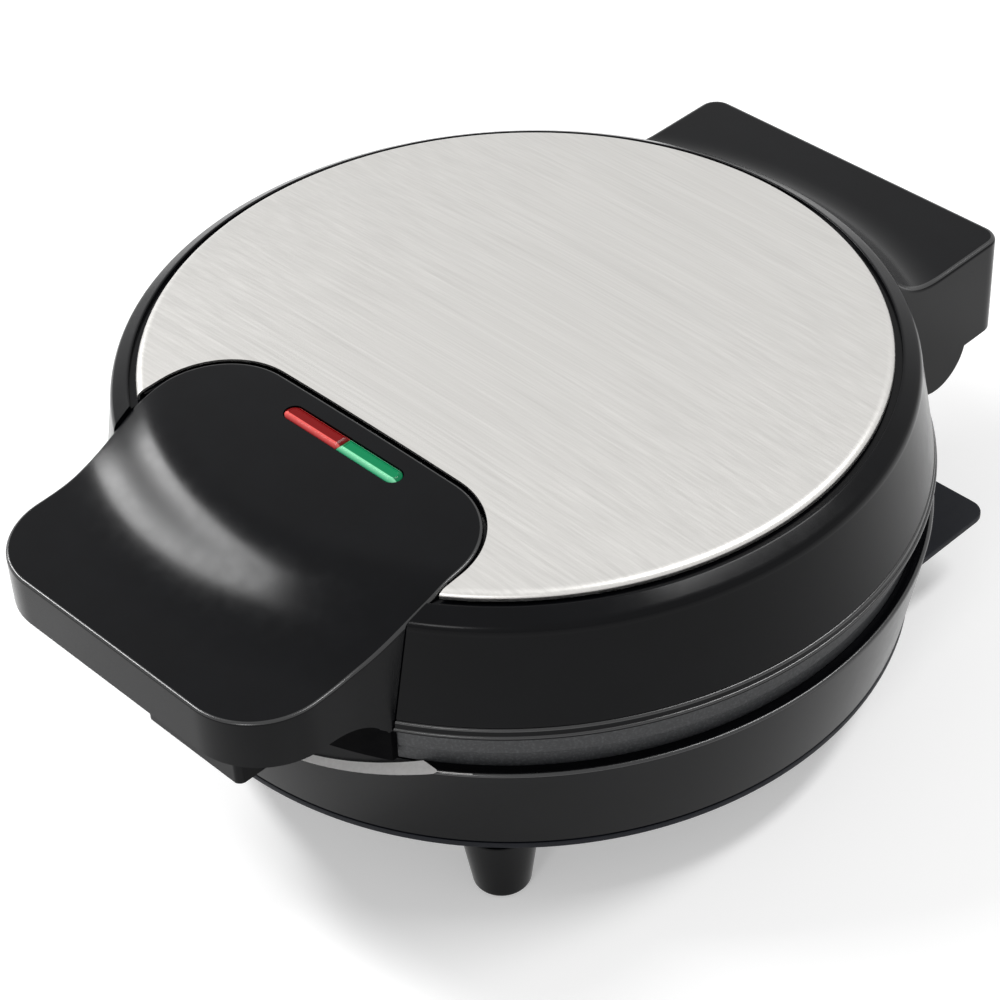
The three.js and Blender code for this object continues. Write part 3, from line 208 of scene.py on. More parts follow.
def crowned(outline, top, bottom, edge, spine, rings=44, steps=7, walls=6):
    """A form with walls on a symmetric outline, a rounded upper edge and a top of height top(x, y)."""
    loops = []
    for i in range(walls):
        loops.append([
            (x, y, bottom + (top(x, y) - edge - bottom) * i / walls) for x, y in outline
        ])
    for i in range(steps + 1):
        angle = math.pi / 2 * i / steps
        line = inset(outline, edge * (1 - math.cos(angle)))
        loops.append([(x, y, top(x, y) - edge * (1 - math.sin(angle))) for x, y in line])
    line = inset(outline, edge)
    for i in range(1, rings + 1):
        share = i / rings
        loop = []
        for x, y in line:
            end = max(spine[0], min(spine[1], y))
            px, py = x * (1 - share), y + (end - y) * share
            loop.append((px, py, top(px, py)))
        loops.append(loop)
    return skin(loops, (True, False))


# Objects

def made(name, form, edge_faces=()):
    """An object from a form; edge_faces are the faces that take its second material."""
    points, faces = form
    mesh = bpy.data.meshes.new(name)
    mesh.from_pydata([(x * MM, y * MM, z * MM) for x, y, z in points], [], faces)
    if edge_faces:
        mesh.materials.append(gloss_black)
        mesh.materials.append(gloss_edge)
    for index in edge_faces:
        mesh.polygons[index].material_index = 1
    work = bmesh.new()
    work.from_mesh(mesh)
    bmesh.ops.remove_doubles(work, verts=work.verts, dist=1e-7)
    empty = [f for f in work.faces if f.calc_area() < 1e-14]
    bmesh.ops.delete(work, geom=empty, context="FACES_ONLY")
    bmesh.ops.recalc_face_normals(work, faces=work.faces)
    work.to_mesh(mesh)
    work.free()
    thing = bpy.data.objects.new(name, mesh)
    bpy.context.scene.collection.objects.link(thing)
    return thing


def carve(thing, tool, operation="DIFFERENCE"):
    """Boolean of thing with a form or an object, which is used up."""
    if isinstance(tool, tuple):
        tool = made("tool", tool)
    modifier = thing.modifiers.new("carve", "BOOLEAN")
    modifier.operation = operation
    modifier.solver = "MANIFOLD"
    modifier.object = tool
    bpy.context.view_layer.update()
    mesh = bpy.data.meshes.new_from_object(
        thing.evaluated_get(bpy.context.evaluated_depsgraph_get())
    )
    thing.modifiers.clear()
    thing.data = mesh
    bpy.data.objects.remove(tool)
    return thing


def dressed(thing, body, material, replaces=(), sharp=32, edge=None):
    """Shading, materials and body of a finished piece, with the CAD parts it replaces hidden."""
    mesh = thing.data
    marks = [int(face.material_index == 1) for face in mesh.polygons]
    mesh.materials.clear()
    mesh.materials.append(material)
    if edge:
        mesh.materials.append(edge)
        mesh.polygons.foreach_set("material_index", marks)
    mesh.shade_smooth()
    mesh.set_sharp_from_angle(angle=math.radians(sharp))
    even = thing.modifiers.new("even normals", "WEIGHTED_NORMAL")
    even.mode = "FACE_AREA"
    even.keep_sharp = True
    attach(thing, body)
    if replaces:
        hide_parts(*replaces)
    return thing


# Materials

class Paint:
    """A Principled material and the nodes that feed it."""

    def __init__(self, name, color, roughness, metallic=0.0, **sockets):
        self.material = bpy.data.materials.new(name)
        self.material.use_nodes = True
        self.tree = self.material.node_tree
        self.shader = self.tree.nodes["Principled BSDF"]
        self.set(self.shader, "Base Color", (*color, 1))
        self.set(self.shader, "Roughness", roughness)
        self.set(self.shader, "Metallic", metallic)
        for socket, value in sockets.items():
            self.set(self.shader, socket.replace("_", " "), value)
        self.place = self.node("ShaderNodeTexCoord").outputs["Object"]

    def node(self, kind, **values):
        made_node = self.tree.nodes.new(kind)
        for key, value in values.items():
            setattr(made_node, key, value)
        return made_node

    def set(self, node, socket, value):
        node.inputs[socket].default_value = value

    def link(self, source, target):
        self.tree.links.new(source, target)

    def stretched(self, scale):
        mapping = self.node("ShaderNodeMapping")
        self.set(mapping, "Scale", scale)
        self.link(self.place, mapping.inputs["Vector"])
        return mapping.outputs["Vector"]

    def noise(self, scale, detail=2.0, stretch=None, rough=0.5):
        noise = self.node("ShaderNodeTexNoise")
        self.set(noise, "Scale", scale)
        self.set(noise, "Detail", detail)
        self.set(noise, "Roughness", rough)
        self.link(self.stretched(stretch) if stretch else self.place, noise.inputs["Vector"])
        return noise.outputs["Fac"]

    def ranged(self, source, low, high, to_low, to_high):
        ranged = self.node("ShaderNodeMapRange")
        for socket, value in zip(("From Min", "From Max", "To Min", "To Max"), (low, high, to_low, to_high)):
            self.set(ranged, socket, value)
        self.link(source, ranged.inputs["Value"])
        return ranged.outputs["Result"]

    def colours(self, source, *stops):
        ramp = self.node("ShaderNodeValToRGB")
        elements = ramp.color_ramp.elements
        while len(elements) < len(stops):
            elements.new(0.5)
        for element, (position, color) in zip(elements, stops):
            element.position = position
            element.color = (*color, 1)
        self.link(source, ramp.inputs["Fac"])
        self.link(ramp.outputs["Color"], self.shader.inputs["Base Color"])

    def roughen(self, source, low, high, to_low, to_high):
        self.link(self.ranged(source, low, high, to_low, to_high), self.shader.inputs["Roughness"])

    def bump(self, source, strength, distance):
        bump = self.node("ShaderNodeBump")
        self.set(bump, "Strength", strength)
        self.set(bump, "Distance", distance * MM)
        self.link(source, bump.inputs["Height"])
        self.link(bump.outputs["Normal"], self.shader.inputs["Normal"])


def moulded(name, dark, light, roughness, grain, bump, specular=0.5):
    """Moulded plastic: a very slight mottle, a roughness that varies and a fine surface wave."""
    paint = Paint(name, dark, roughness, Specular_IOR_Level=specular)
    paint.colours(paint.noise(90, 3), (0.35, dark), (0.7, light))
    paint.roughen(paint.noise(260, 3), 0.3, 0.7, roughness * 0.9, roughness * 1.12)
    paint.bump(paint.noise(grain, 2), bump, 0.05)
    return paint.material


def brushed(name, dark, light, roughness, along=(6, 900, 900)):
    """Metal brushed in one direction, with streaks in its colour, roughness and surface."""
    paint = Paint(name, light, roughness, 1.0)
    fine = paint.noise(2.2, 4, along, 0.62)
    paint.colours(fine, (0.25, dark), (0.75, light))
    paint.roughen(paint.noise(1.4, 3, along), 0.3, 0.7, roughness * 0.88, roughness * 1.15)
    paint.bump(fine, 0.12, 0.02)
    return paint.material


def metal(name, dark, light, roughness):
    """Plain drawn or pressed metal, slightly uneven."""
    paint = Paint(name, light, roughness, 1.0)
    paint.colours(paint.noise(140, 4), (0.3, dark), (0.7, light))
    paint.roughen(paint.noise(420, 3), 0.3, 0.7, roughness * 0.85, roughness * 1.2)
    paint.bump(paint.noise(1100, 2), 0.05, 0.02)
    return paint.material


def coated(name, dark, light, roughness):
    """Sprayed non-stick coating: a dark ground with fine paler specks and a pebbled surface."""
    paint = Paint(name, dark, roughness)
    paint.colours(paint.noise(1500, 2), (0.48, dark), (0.74, light))
    paint.roughen(paint.noise(700, 2), 0.3, 0.7, roughness * 0.9, roughness * 1.1)
    paint.bump(paint.noise(1900, 2), 0.25, 0.05)
    return paint.material


def jewelled(name, deep, bright, clear=0.0, painted_highlight=None):
    """A glassy moulding; with a third colour given, a pale strip along its front and a pale rear edge are
    painted on as highlights.
    """
    paint = Paint(name, deep, 0.12, Transmission_Weight=clear, IOR=1.49, Specular_IOR_Level=0.12)
    grain = paint.noise(420, 3)
    if painted_highlight:
        # Painted highlight: pale strips at the lens's front and rear edge, set by position across it
        axes = paint.node("ShaderNodeSeparateXYZ")
        paint.link(paint.place, axes.inputs[0])
        across = paint.ranged(axes.outputs["Y"], LENS_FRONT_Y * MM, LENS_REAR_Y * MM, 0, 1)
        paint.colours(
            across, (0.0, bright), (0.25, painted_highlight), (0.3, painted_highlight), (0.34, deep), (0.93, deep), (0.97, painted_highlight),
        )
    else:
        paint.colours(grain, (0.35, deep), (0.7, bright))
    paint.roughen(grain, 0.3, 0.7, 0.1, 0.18)
    paint.bump(paint.noise(900, 2), 0.06, 0.05)
    return paint.material


def matt(name, dark, light, roughness, grain=800):
    paint = Paint(name, dark, roughness)
    paint.colours(paint.noise(grain, 3), (0.35, dark), (0.7, light))
    paint.roughen(paint.noise(grain * 1.5, 2), 0.3, 0.7, roughness * 0.92, min(1, roughness * 1.06))
    paint.bump(paint.noise(grain * 2, 2), 0.15, 0.04)
    return paint.material


BLACK, LIGHTER_BLACK = (0.0016, 0.0017, 0.0023), (0.0022, 0.0024, 0.0032)
gloss_black = moulded("gloss_black", BLACK, LIGHTER_BLACK, 0.19, 700, 0.015, 0.11)
gloss_edge = moulded("gloss_edge", BLACK, LIGHTER_BLACK, 0.25, 700, 0.0, 0.7)
# Painted shade: a darker, nearly unreflecting black for the curtain's lower faces under the handle, where
# shade falls
painted_shade_black = moulded(
    "painted_shade_black", (0.0012, 0.0012, 0.0015), (0.0018, 0.0018, 0.0022), 0.6, 700, 0.0, 0.02,
)
satin_black = moulded("satin_black", (0.012, 0.012, 0.014), (0.02, 0.02, 0.023), 0.45, 1600, 0.12)
cover_black = moulded("cover_black", (0.003, 0.004, 0.007), (0.005, 0.006, 0.010), 0.5, 1500, 0.15, 0.2)
steel = brushed("brushed_steel", (0.56, 0.55, 0.53), (0.66, 0.65, 0.63), 0.36)
non_stick = coated("non_stick", (0.019, 0.020, 0.022), (0.052, 0.054, 0.057), 0.5)
element_steel = metal("element_steel", (0.2, 0.2, 0.2), (0.32, 0.31, 0.3), 0.45)
pressed_steel = brushed("pressed_steel", (0.4, 0.4, 0.41), (0.52, 0.53, 0.54), 0.42, (300, 300, 30))
screw_steel = metal("screw_steel", (0.3, 0.3, 0.3), (0.42, 0.42, 0.42), 0.35)
red_lens = jewelled(
    "red_lens", (0.17, 0.0005, 0.001), (0.24, 0.012, 0.014), painted_highlight=(0.75, 0.11, 0.10),
)
green_lens = jewelled(
    "green_lens", (0.0, 0.19, 0.07), (0.012, 0.24, 0.11), painted_highlight=(0.24, 0.72, 0.42),
)
lamp_glass = jewelled("lamp_glass", (0.5, 0.44, 0.34), (0.7, 0.62, 0.5), 0.25)
ceramic = matt("ceramic", (0.58, 0.54, 0.47), (0.68, 0.64, 0.57), 0.75)
# Painted reflection: a pale colour that stands in for the lamp's bright reflection on the base's front slope
painted_reflection_pale = matt("painted_reflection_pale", (0.80, 0.79, 0.78), (0.87, 0.86, 0.85), 0.5)
rubber = matt("foot_rubber", (0.012, 0.012, 0.012), (0.022, 0.022, 0.022), 0.85)

PAINTS = {
    "gloss_black": gloss_black, "satin_black": satin_black, "cover_black": cover_black,
    "brushed_steel": steel, "non_stick": non_stick, "element_steel": element_steel,
    "pressed_steel": pressed_steel, "screw_steel": screw_steel, "red_lens": red_lens,
    "green_lens": green_lens, "lamp_glass": lamp_glass, "ceramic": ceramic, "foot_rubber": rubber,
}

for row in frame["record"]["subparts"]:
    node = nodes[row["node"]]
    node.data.materials.clear()
    node.data.materials.append(PAINTS[row["material_slot"]])


# Handle

HANDLE_CORNERS = [(51.3, -134.5, 20), (51.3, -104, 60), (53.4, -80, 30), (52.2, -50.6, 21.5)]
SWEEP_SHARES = ((0.333, 0.1), (0.458, 0.95))
BLOCK_SHARES = ((0.25, 0.55), (0.45, 0.97))
ROOT_Y, SKIRT_Z, ROOT_WIDTH, ROOT_HEIGHT = -93.7, 72.4, 18.3, 14.4
CURTAIN_IN_R, CURTAIN_OUT_R, CURTAIN_HALF, CURTAIN_Z = 105.7, 107.2, 51.2, 53.2
SWEEP_IN_R, SWEEP_OUT_R, GRIP_FALL = 88, 124, 1.5
HANDLE_EDGE, HANDLE_SHELL, HANDLE_SPINE = 0.8, 2.3, (-112, -68)
SKIRT_FRONT_Y, SKIRT_RISE = -141, 0.7
HANDLE_EDGE_ROWS, BLOCK_EDGE_ROWS = (8, 12), (9, 12)
BEAD_ROWS, RIM_ROWS, BASE_EDGE_ROWS = (3, 8), (10, 15), (4, 9)


def handle_corners(offset):
    (fx, fy, fr), (wx, wy, wr), (mx, my, mr), (rx, ry, rr) = HANDLE_CORNERS
    return [
        (fx + offset, fy - offset, fr + offset), (wx + offset, wy, wr),
        (mx + offset, my, mr), (rx + offset, ry + offset, rr + offset),
    ]


def sweep_line(start, end, shares, count=200):
    """Points of the cubic that falls from start to end."""
    (x0, z0), (x3, z3) = start, end
    controls = [start, *((x0 + (x3 - x0) * a, z0 + (z3 - z0) * b) for a, b in shares), end]
    points = []
    for i in range(count + 1):
        t = i / count
        weights = ((1 - t) ** 3, 3 * t * (1 - t) ** 2, 3 * t * t * (1 - t), t ** 3)
        points.append(tuple(sum(w * c[k] for w, c in zip(weights, controls)) for k in (0, 1)))
    return points


def dome(radius, z, height, count):
    """A shallow crown's profile from the axis out to radius."""
    shares = [i / count for i in range(count + 1)]
    return [(radius * s, z + height * (1 - s * s)) for s in shares]


def height_of(line):
    """Height as a smooth function of the radius, from points in order of radius."""
    step = 0.25
    end = line[-1][0]
    heights, at = [], 0
    for i in range(int(end / step) + 1):
        radius = i * step
        while at < len(line) - 2 and line[at + 1][0] < radius:
            at += 1
        (r0, z0), (r1, z1) = line[at], line[at + 1]
        heights.append(z0 + (z1 - z0) * (radius - r0) / max(1e-9, r1 - r0))
    for _ in range(60):
        heights = [
            heights[0],
            *((a + 2 * b + c) / 4 for a, b, c in zip(heights, heights[1:], heights[2:])),
            heights[-1],
        ]

    def height(x, y):
        at = min(math.hypot(x, y) / step, len(heights) - 1.001)
        low = int(at)
        return heights[low] + (heights[low + 1] - heights[low]) * (at - low)

    return height


handle_line = [
    *dome(SWEEP_IN_R, LOBE_Z, LOBE_CROWN, 60),
    *sweep_line((SWEEP_IN_R, LOBE_Z), (SWEEP_OUT_R, GRIP_Z), SWEEP_SHARES)[1:],
    (160, GRIP_Z - GRIP_FALL),
]
handle_height = height_of(handle_line)


def rows(first, last, count):
    """Face numbers of the rows first to last of a skin whose loops have count points."""
    return range(first * count, (last + 1) * count)


def build_handle():
    outline = symmetric_outline(handle_corners(0))
    handle = made("handle_shell", crowned(
        outline, handle_height, LID_BOTTOM_Z + GAP, HANDLE_EDGE, HANDLE_SPINE, rings=46,
    ), rows(*HANDLE_EDGE_ROWS, len(outline)))
    below = LID_BOTTOM_Z - 28
    underside = made("underside", prism([
        (SKIRT_FRONT_Y, below), (ROOT_Y, below),
        *arc(ROOT_Y - ROOT_WIDTH, SKIRT_Z - ROOT_HEIGHT, ROOT_WIDTH, ROOT_HEIGHT, 0, 90, 24),
        (SKIRT_FRONT_Y, SKIRT_Z + SKIRT_RISE),
    ], "x", -60, 60))
    carve(underside, cylinder(0, 0, BEAD_R + GAP, below - 3, 110, ROUND_STEPS))
    carve(handle, underside)

    inner = made("inner", crowned(
        inset(outline, HANDLE_SHELL), lambda x, y: handle_height(x, y) - HANDLE_SHELL, below - 2, 1.2,
        HANDLE_SPINE, rings=20, steps=4, walls=3,
    ))
    grip = inner.copy()
    grip.data = inner.data.copy()
    bpy.context.scene.collection.objects.link(grip)
    carve(grip, cylinder(0, 0, BEAD_R, below - 6, 114, ROUND_STEPS))
    carve(handle, grip)
    carve(inner, cylinder(0, 0, BEAD_R - 2.6, below - 6, 114, ROUND_STEPS), "INTERSECT")
    carve(handle, inner)
    curtain = made("curtain", revolved([
        (CURTAIN_IN_R, CURTAIN_Z), (CURTAIN_OUT_R, CURTAIN_Z),
        (CURTAIN_OUT_R, LID_BOTTOM_Z + 1), (CURTAIN_IN_R, LID_BOTTOM_Z + 1),
    ], ring=True))
    carve(curtain, box((-CURTAIN_HALF, -120, 50), (CURTAIN_HALF, -60, 70)), "INTERSECT")
    carve(handle, curtain, "UNION")
    carve(handle, cylinder(0, 0, UPPER_STEP_R + GAP, below, UPPER_STEP_TOP_Z + GAP, ROUND_STEPS))
    carve(handle, cylinder(0, 0, DRUM_R + GAP, below, UPPER_PLATE_TOP_Z + GAP, ROUND_STEPS))
    carve(handle, cylinder(0, 0, HANDLE_SEAT_IN_R, below, RECESS_Z + GAP, ROUND_STEPS))
    slot = slot_outline(-SLOT_END_X, SLOT_END_X, GAP)
    carve(handle, prism(slot, "z", CEILING_Z, LOBE_Z + 2 * OVER))
    dressed(handle, "lid", gloss_black, ["handle"], edge=gloss_edge)
    handle.data.materials.append(painted_shade_black)
    # The curtain's lower faces under the handle take the darker black: painted shade
    for face in handle.data.polygons:
        if face.center.z < (LID_BOTTOM_Z + 1) * MM and face.center.xy.length < CURTAIN_OUT_R * MM:
            face.material_index = 2


# Lamp lenses

def slot_outline(low, high, margin, steps=12):
    """The lamp slot from x = low to high: round at its outer ends, square where a lens ends at the middle."""
    half = LAMP_HALF_WIDTH + margin
    points = []
    if low < 0:
        points += arc(low + LAMP_HALF_WIDTH, LAMP_Y, half, half, 90, 270, steps)
    else:
        points += [(low, LAMP_Y + half), (low, LAMP_Y - half)]
    if high > 0:
        points += arc(high - LAMP_HALF_WIDTH, LAMP_Y, half, half, -90, 90, steps)
    else:
        points += [(high, LAMP_Y - half), (high, LAMP_Y + half)]
    return points


def shrunk(outline, distance):
    """An outline moved inwards by distance, with its corners kept sharp."""
    count = len(outline)
    result = []
    for i in range(count):
        a, b, c = (Vector(outline[(i + k) % count]) for k in (-1, 0, 1))
        first, second = (b - a).normalized(), (c - b).normalized()
        n1, n2 = Vector((-first.y, first.x)), Vector((-second.y, second.x))
        bisector = (n1 + n2).normalized()
        result.append(tuple(b + bisector * (distance / max(0.3, bisector.dot(n1)))))
    return result


def build_lens(name, low, high, material, node):
    outline = slot_outline(low, high, 0)
    top = handle_height(0, LAMP_Y) + 0.3
    steps = [
        (0, CEILING_Z + 0.2), (0, top - 0.75), (0.1, top - 0.6), (0.85, top - 0.1),
        (1.0, top), (1.15, top), (1.3, top - 0.12),
    ]
    loops = [[(x, y, z) for x, y in (shrunk(outline, d) if d else outline)] for d, z in steps]
    lens = made(name, skin(loops))
    dressed(lens, "lid", material, [node], sharp=24)


# Lid housing and hinge block

BLOCK_ROOT_Z = LID_TOP_Z - RIM_H / 2
RIM_CHAMFER = (101.2, 95.05)
BLOCK_EDGE, BLOCK_SPINE, BLOCK_FRONT_Y = 1.3, (60, 118), 72.3
block_line = [
    (0, BLOCK_ROOT_Z), (60, BLOCK_ROOT_Z),
    *sweep_line((101, BLOCK_ROOT_Z), (119, BLOCK_TOP_Z), BLOCK_SHARES), (160, BLOCK_TOP_Z),
]
block_height = height_of(block_line)


def lid_outer_profile():
    return [
        (0, LID_BOTTOM_Z), (BEAD_R - 0.3, LID_BOTTOM_Z), (BEAD_R, LID_BOTTOM_Z + 0.3),
        *arc(BEAD_R - 0.55, BEAD_TOP_Z - 2.5, 0.55, 0.55, 0, 75, 6),
        *arc(WALL_BOTTOM_R - 0.2, BEAD_TOP_Z - 0.6, 0.6, 0.6, -8, 80, 6),
        (WALL_BOTTOM_R - 0.12, BEAD_TOP_Z + 0.1), (WALL_BOTTOM_R, BEAD_TOP_Z + 0.5),
        *arc(WALL_TOP_R - 2.2, RIM_TOP_Z - 5, 2.2, 3.2, 0, 60, 12),
        RIM_CHAMFER, (GROOVE_OUT_R + 0.9, RIM_TOP_Z - 0.25),
        *arc(GROOVE_OUT_R + 0.35, RIM_TOP_Z - 0.38, 0.35, 0.35, 80, 180, 4),
        (GROOVE_OUT_R, GROOVE_Z), (GROOVE_IN_R, GROOVE_Z),
        (GROOVE_IN_R, RECESS_Z), (0, RECESS_Z),
    ]


def build_lid():
    edge_faces = [*rows(*BEAD_ROWS, ROUND_STEPS), *rows(*RIM_ROWS, ROUND_STEPS)]
    lid = made("lid_shell", revolved(lid_outer_profile()), edge_faces)
    bottom_z = HINGE_Z - LUG_R - OVER
    outline = symmetric_outline([
        (BLOCK_HALF, 40, 2), (BLOCK_HALF, BLOCK_REAR_Y, 5.5),
    ])
    block = made("block", crowned(
        outline, block_height, bottom_z, BLOCK_EDGE, BLOCK_SPINE, rings=40,
    ), rows(*BLOCK_EDGE_ROWS, len(outline)))
    carve(block, prism([
        (BLOCK_FRONT_Y, LID_TOP_Z), (BLOCK_FRONT_Y, HINGE_Z),
        *arc(HINGE_Y, HINGE_Z, LUG_R, LUG_R, 180, 345, 40),
        (BLOCK_REAR_Y - 2.1, BLOCK_BOTTOM_Z), (BLOCK_REAR_Y, BLOCK_BOTTOM_Z + 2.1),
        (BLOCK_REAR_Y + 1, LID_TOP_Z),
    ], "x", -BLOCK_HALF - 1, BLOCK_HALF + 1), "INTERSECT")
    carve(block, cylinder(0, 0, BASE_TOP_R + GAP, bottom_z - OVER, LID_BOTTOM_Z, ROUND_STEPS))
    hollow_half = BLOCK_HALF - 6
    hollow = made("hollow", box(
        (-hollow_half, 0, bottom_z - OVER),
        (hollow_half, BLOCK_REAR_Y - SHELL_WALL, BLOCK_TOP_Z - SHELL_WALL),
    ))
    carve(hollow, revolved(lid_outer_profile()))
    carve(lid, block, "UNION")
    carve(lid, revolved([
        (0, LID_BOTTOM_Z - OVER), (PLATE_SPACE_R, LID_BOTTOM_Z - OVER), (PLATE_SPACE_R, BEAD_TOP_Z),
        (WALL_TOP_R - SHELL_WALL, RIM_TOP_Z - RIM_H), (GROOVE_IN_R, GROOVE_Z - SHELL_WALL),
        (91.9, CEILING_Z), (0, CEILING_Z),
    ]))
    carve(lid, hollow)
    round_handle = symmetric_outline(handle_corners(GAP))
    notch = made("notch", prism(round_handle, "z", LID_BOTTOM_Z - OVER, LID_TOP_Z + OVER))
    carve(notch, cylinder(0, 0, HANDLE_SEAT_R, 50, 112, ROUND_STEPS))
    carve(lid, notch)
    for side in (-1, 1):
        hole = arc(HINGE_Y, HINGE_Z, PIN_HOLE_R, PIN_HOLE_R, 0, 345, 23)
        low, high = sorted((side * LUG_IN_X, side * LUG_OUT_X))
        carve(lid, prism(hole, "x", low, high))
    dressed(lid, "lid", gloss_black, ["lid_housing"], edge=gloss_edge)


def build_cover_plate():
    r, z, roll, fall, skirt = STEEL_R, LID_TOP_Z, 2.4, 1.5, 2.2
    inner_roll, inner_fall = roll - STEEL_T, fall - STEEL_T
    plate = made("steel_cover", revolved([
        *dome(r - roll, z - STEEL_T, STEEL_CROWN, 24),
        *arc(r - roll, z - fall, inner_roll, inner_fall, 80, 0, 5),
        (r - STEEL_T, z - skirt), (r, z - skirt), *arc(r - roll, z - fall, roll, fall, 0, 84, 12),
        *reversed(dome(r - roll, z, STEEL_CROWN, 24)),
    ], 360))
    carve(plate, prism(symmetric_outline(handle_corners(LOBE_GAP)), "z", 85, 106))
    dressed(plate, "lid", steel, ["lid_cover_plate"])


# Base

def base_radius(z):
    return BASE_BOTTOM_R + (z - BASE_BOTTOM_Z) * (BASE_TOP_R - BASE_BOTTOM_R) / (BASE_TOP_Z - BASE_BOTTOM_Z)


SCOOP_Y, SCOOP_SLOPE = -88.6, 33
FRONT_LUG_HALF, FRONT_LUG_FRONT_Y, FRONT_LUG_REAR_Y = 17.7, -115.3, -101.9
FRONT_LUG_LOW, FRONT_LUG_HIGH = 15.3, 1.8


def base_cavity():
    wall, seat, top = BASE_BOTTOM_R - SHELL_WALL, LOWER_RIM_BOTTOM_Z - GAP, BASE_TOP_Z + OVER
    shelf, drum = seat - SHELL_WALL, DRUM_R + GAP
    return [
        (0, 19), (wall, 19), (wall, BASE_BOTTOM_Z), (base_radius(shelf) - SHELL_WALL, shelf),
        (drum, shelf), (drum, seat), (PLATE_SPACE_R, seat), (PLATE_SPACE_R, top), (0, top),
    ]


def scoop(offset, radius):
    """The space over a slope that leaves the base's front low, outside a radius and set in by an offset."""
    slope = math.tan(math.radians(SCOOP_SLOPE))
    start_z = BASE_TOP_Z - offset / math.cos(math.atan(slope))
    front_y = -BASE_TOP_R - OVER
    front_z = start_z - (SCOOP_Y - front_y) * slope
    wedge = made("wedge", prism([
        (SCOOP_Y, BASE_TOP_Z + OVER), (front_y, BASE_TOP_Z + OVER), (front_y, front_z), (SCOOP_Y, start_z),
    ], "x", -BASE_TOP_R, BASE_TOP_R))
    return carve(wedge, cylinder(0, 0, radius, BASE_BOTTOM_Z, 60, ROUND_STEPS))


def build_base():
    outer = [
        (0, BASE_BOTTOM_Z), (BASE_BOTTOM_R - 0.3, BASE_BOTTOM_Z), (BASE_BOTTOM_R, BASE_BOTTOM_Z + 0.3),
        (base_radius(BASE_TOP_Z - 1.2), BASE_TOP_Z - 1.2),
        *arc(BASE_TOP_R - 1.05, BASE_TOP_Z - 0.9, 0.9, 0.9, 6, 90, 6), (0, BASE_TOP_Z),
    ]
    base = made("base_shell", revolved(outer), rows(*BASE_EDGE_ROWS, ROUND_STEPS))
    carve(base, box((-110, REAR_EDGE_Y, 10), (110, 112, REAR_FLAT_TOP_Z)))
    carve(base, scoop(0, PLATE_SPACE_R))
    cavity = made("cavity", revolved(base_cavity()))
    carve(cavity, box((-110, REAR_EDGE_Y - SHELL_WALL, 10), (110, 112, REAR_FLAT_TOP_Z + SHELL_WALL)))
    backing = scoop(SHELL_WALL, PLATE_SPACE_R - SHELL_WALL)
    carve(backing, cylinder(0, 0, PLATE_SPACE_R, LOWER_RIM_BOTTOM_Z - GAP, 70, ROUND_STEPS))
    carve(cavity, backing)
    lug = made("lug", prism(rounded([
        (FRONT_LUG_HALF, FRONT_LUG_FRONT_Y, 2), (FRONT_LUG_HALF, FRONT_LUG_REAR_Y, 0),
        (-FRONT_LUG_HALF, FRONT_LUG_REAR_Y, 0), (-FRONT_LUG_HALF, FRONT_LUG_FRONT_Y, 2),
    ]), "z", BASE_TOP_Z - FRONT_LUG_LOW, BASE_TOP_Z - FRONT_LUG_HIGH))
    carve(base, cavity)
    carve(lug, revolved(base_cavity()))
    carve(base, lug, "UNION")
    for side in (-1, 1):
        low, high = sorted((side * EAR_IN_X, side * EAR_OUT_X))
        ear = made("ear", prism([
            (90.9, BASE_TOP_Z - 0.9), (90.9, BASE_BOTTOM_Z + 14.25),
            *arc(HINGE_Y, HINGE_Z, EAR_R, EAR_R, -60, 150, 32),
            (100.0, BASE_TOP_Z + 0.9), (98.8, BASE_TOP_Z - 0.9),
        ], "x", low, high))
        carve(ear, revolved(base_cavity()))
        carve(base, ear, "UNION")
        hole = arc(HINGE_Y, HINGE_Z, PIN_HOLE_R, PIN_HOLE_R, 0, 345, 23)
        carve(base, prism(hole, "x", low - OVER, high + OVER))
    gland_hole = arc(0, BASE_BOTTOM_Z + 7.5, 5.75, 5.75, 0, 350, 35)
    carve(base, prism(gland_hole, "y", REAR_EDGE_Y - 6.5, REAR_EDGE_Y + 4.5))
    dressed(base, "base", gloss_black, ["base_housing"], edge=gloss_edge)
    base.data.materials.append(painted_reflection_pale)
    # The up- and forward-facing slope is painted pale: a painted reflection of the lamp
    for face in base.data.polygons:
        if face.normal.z > 0.75 and face.normal.y < -0.45:
            face.material_index = 2


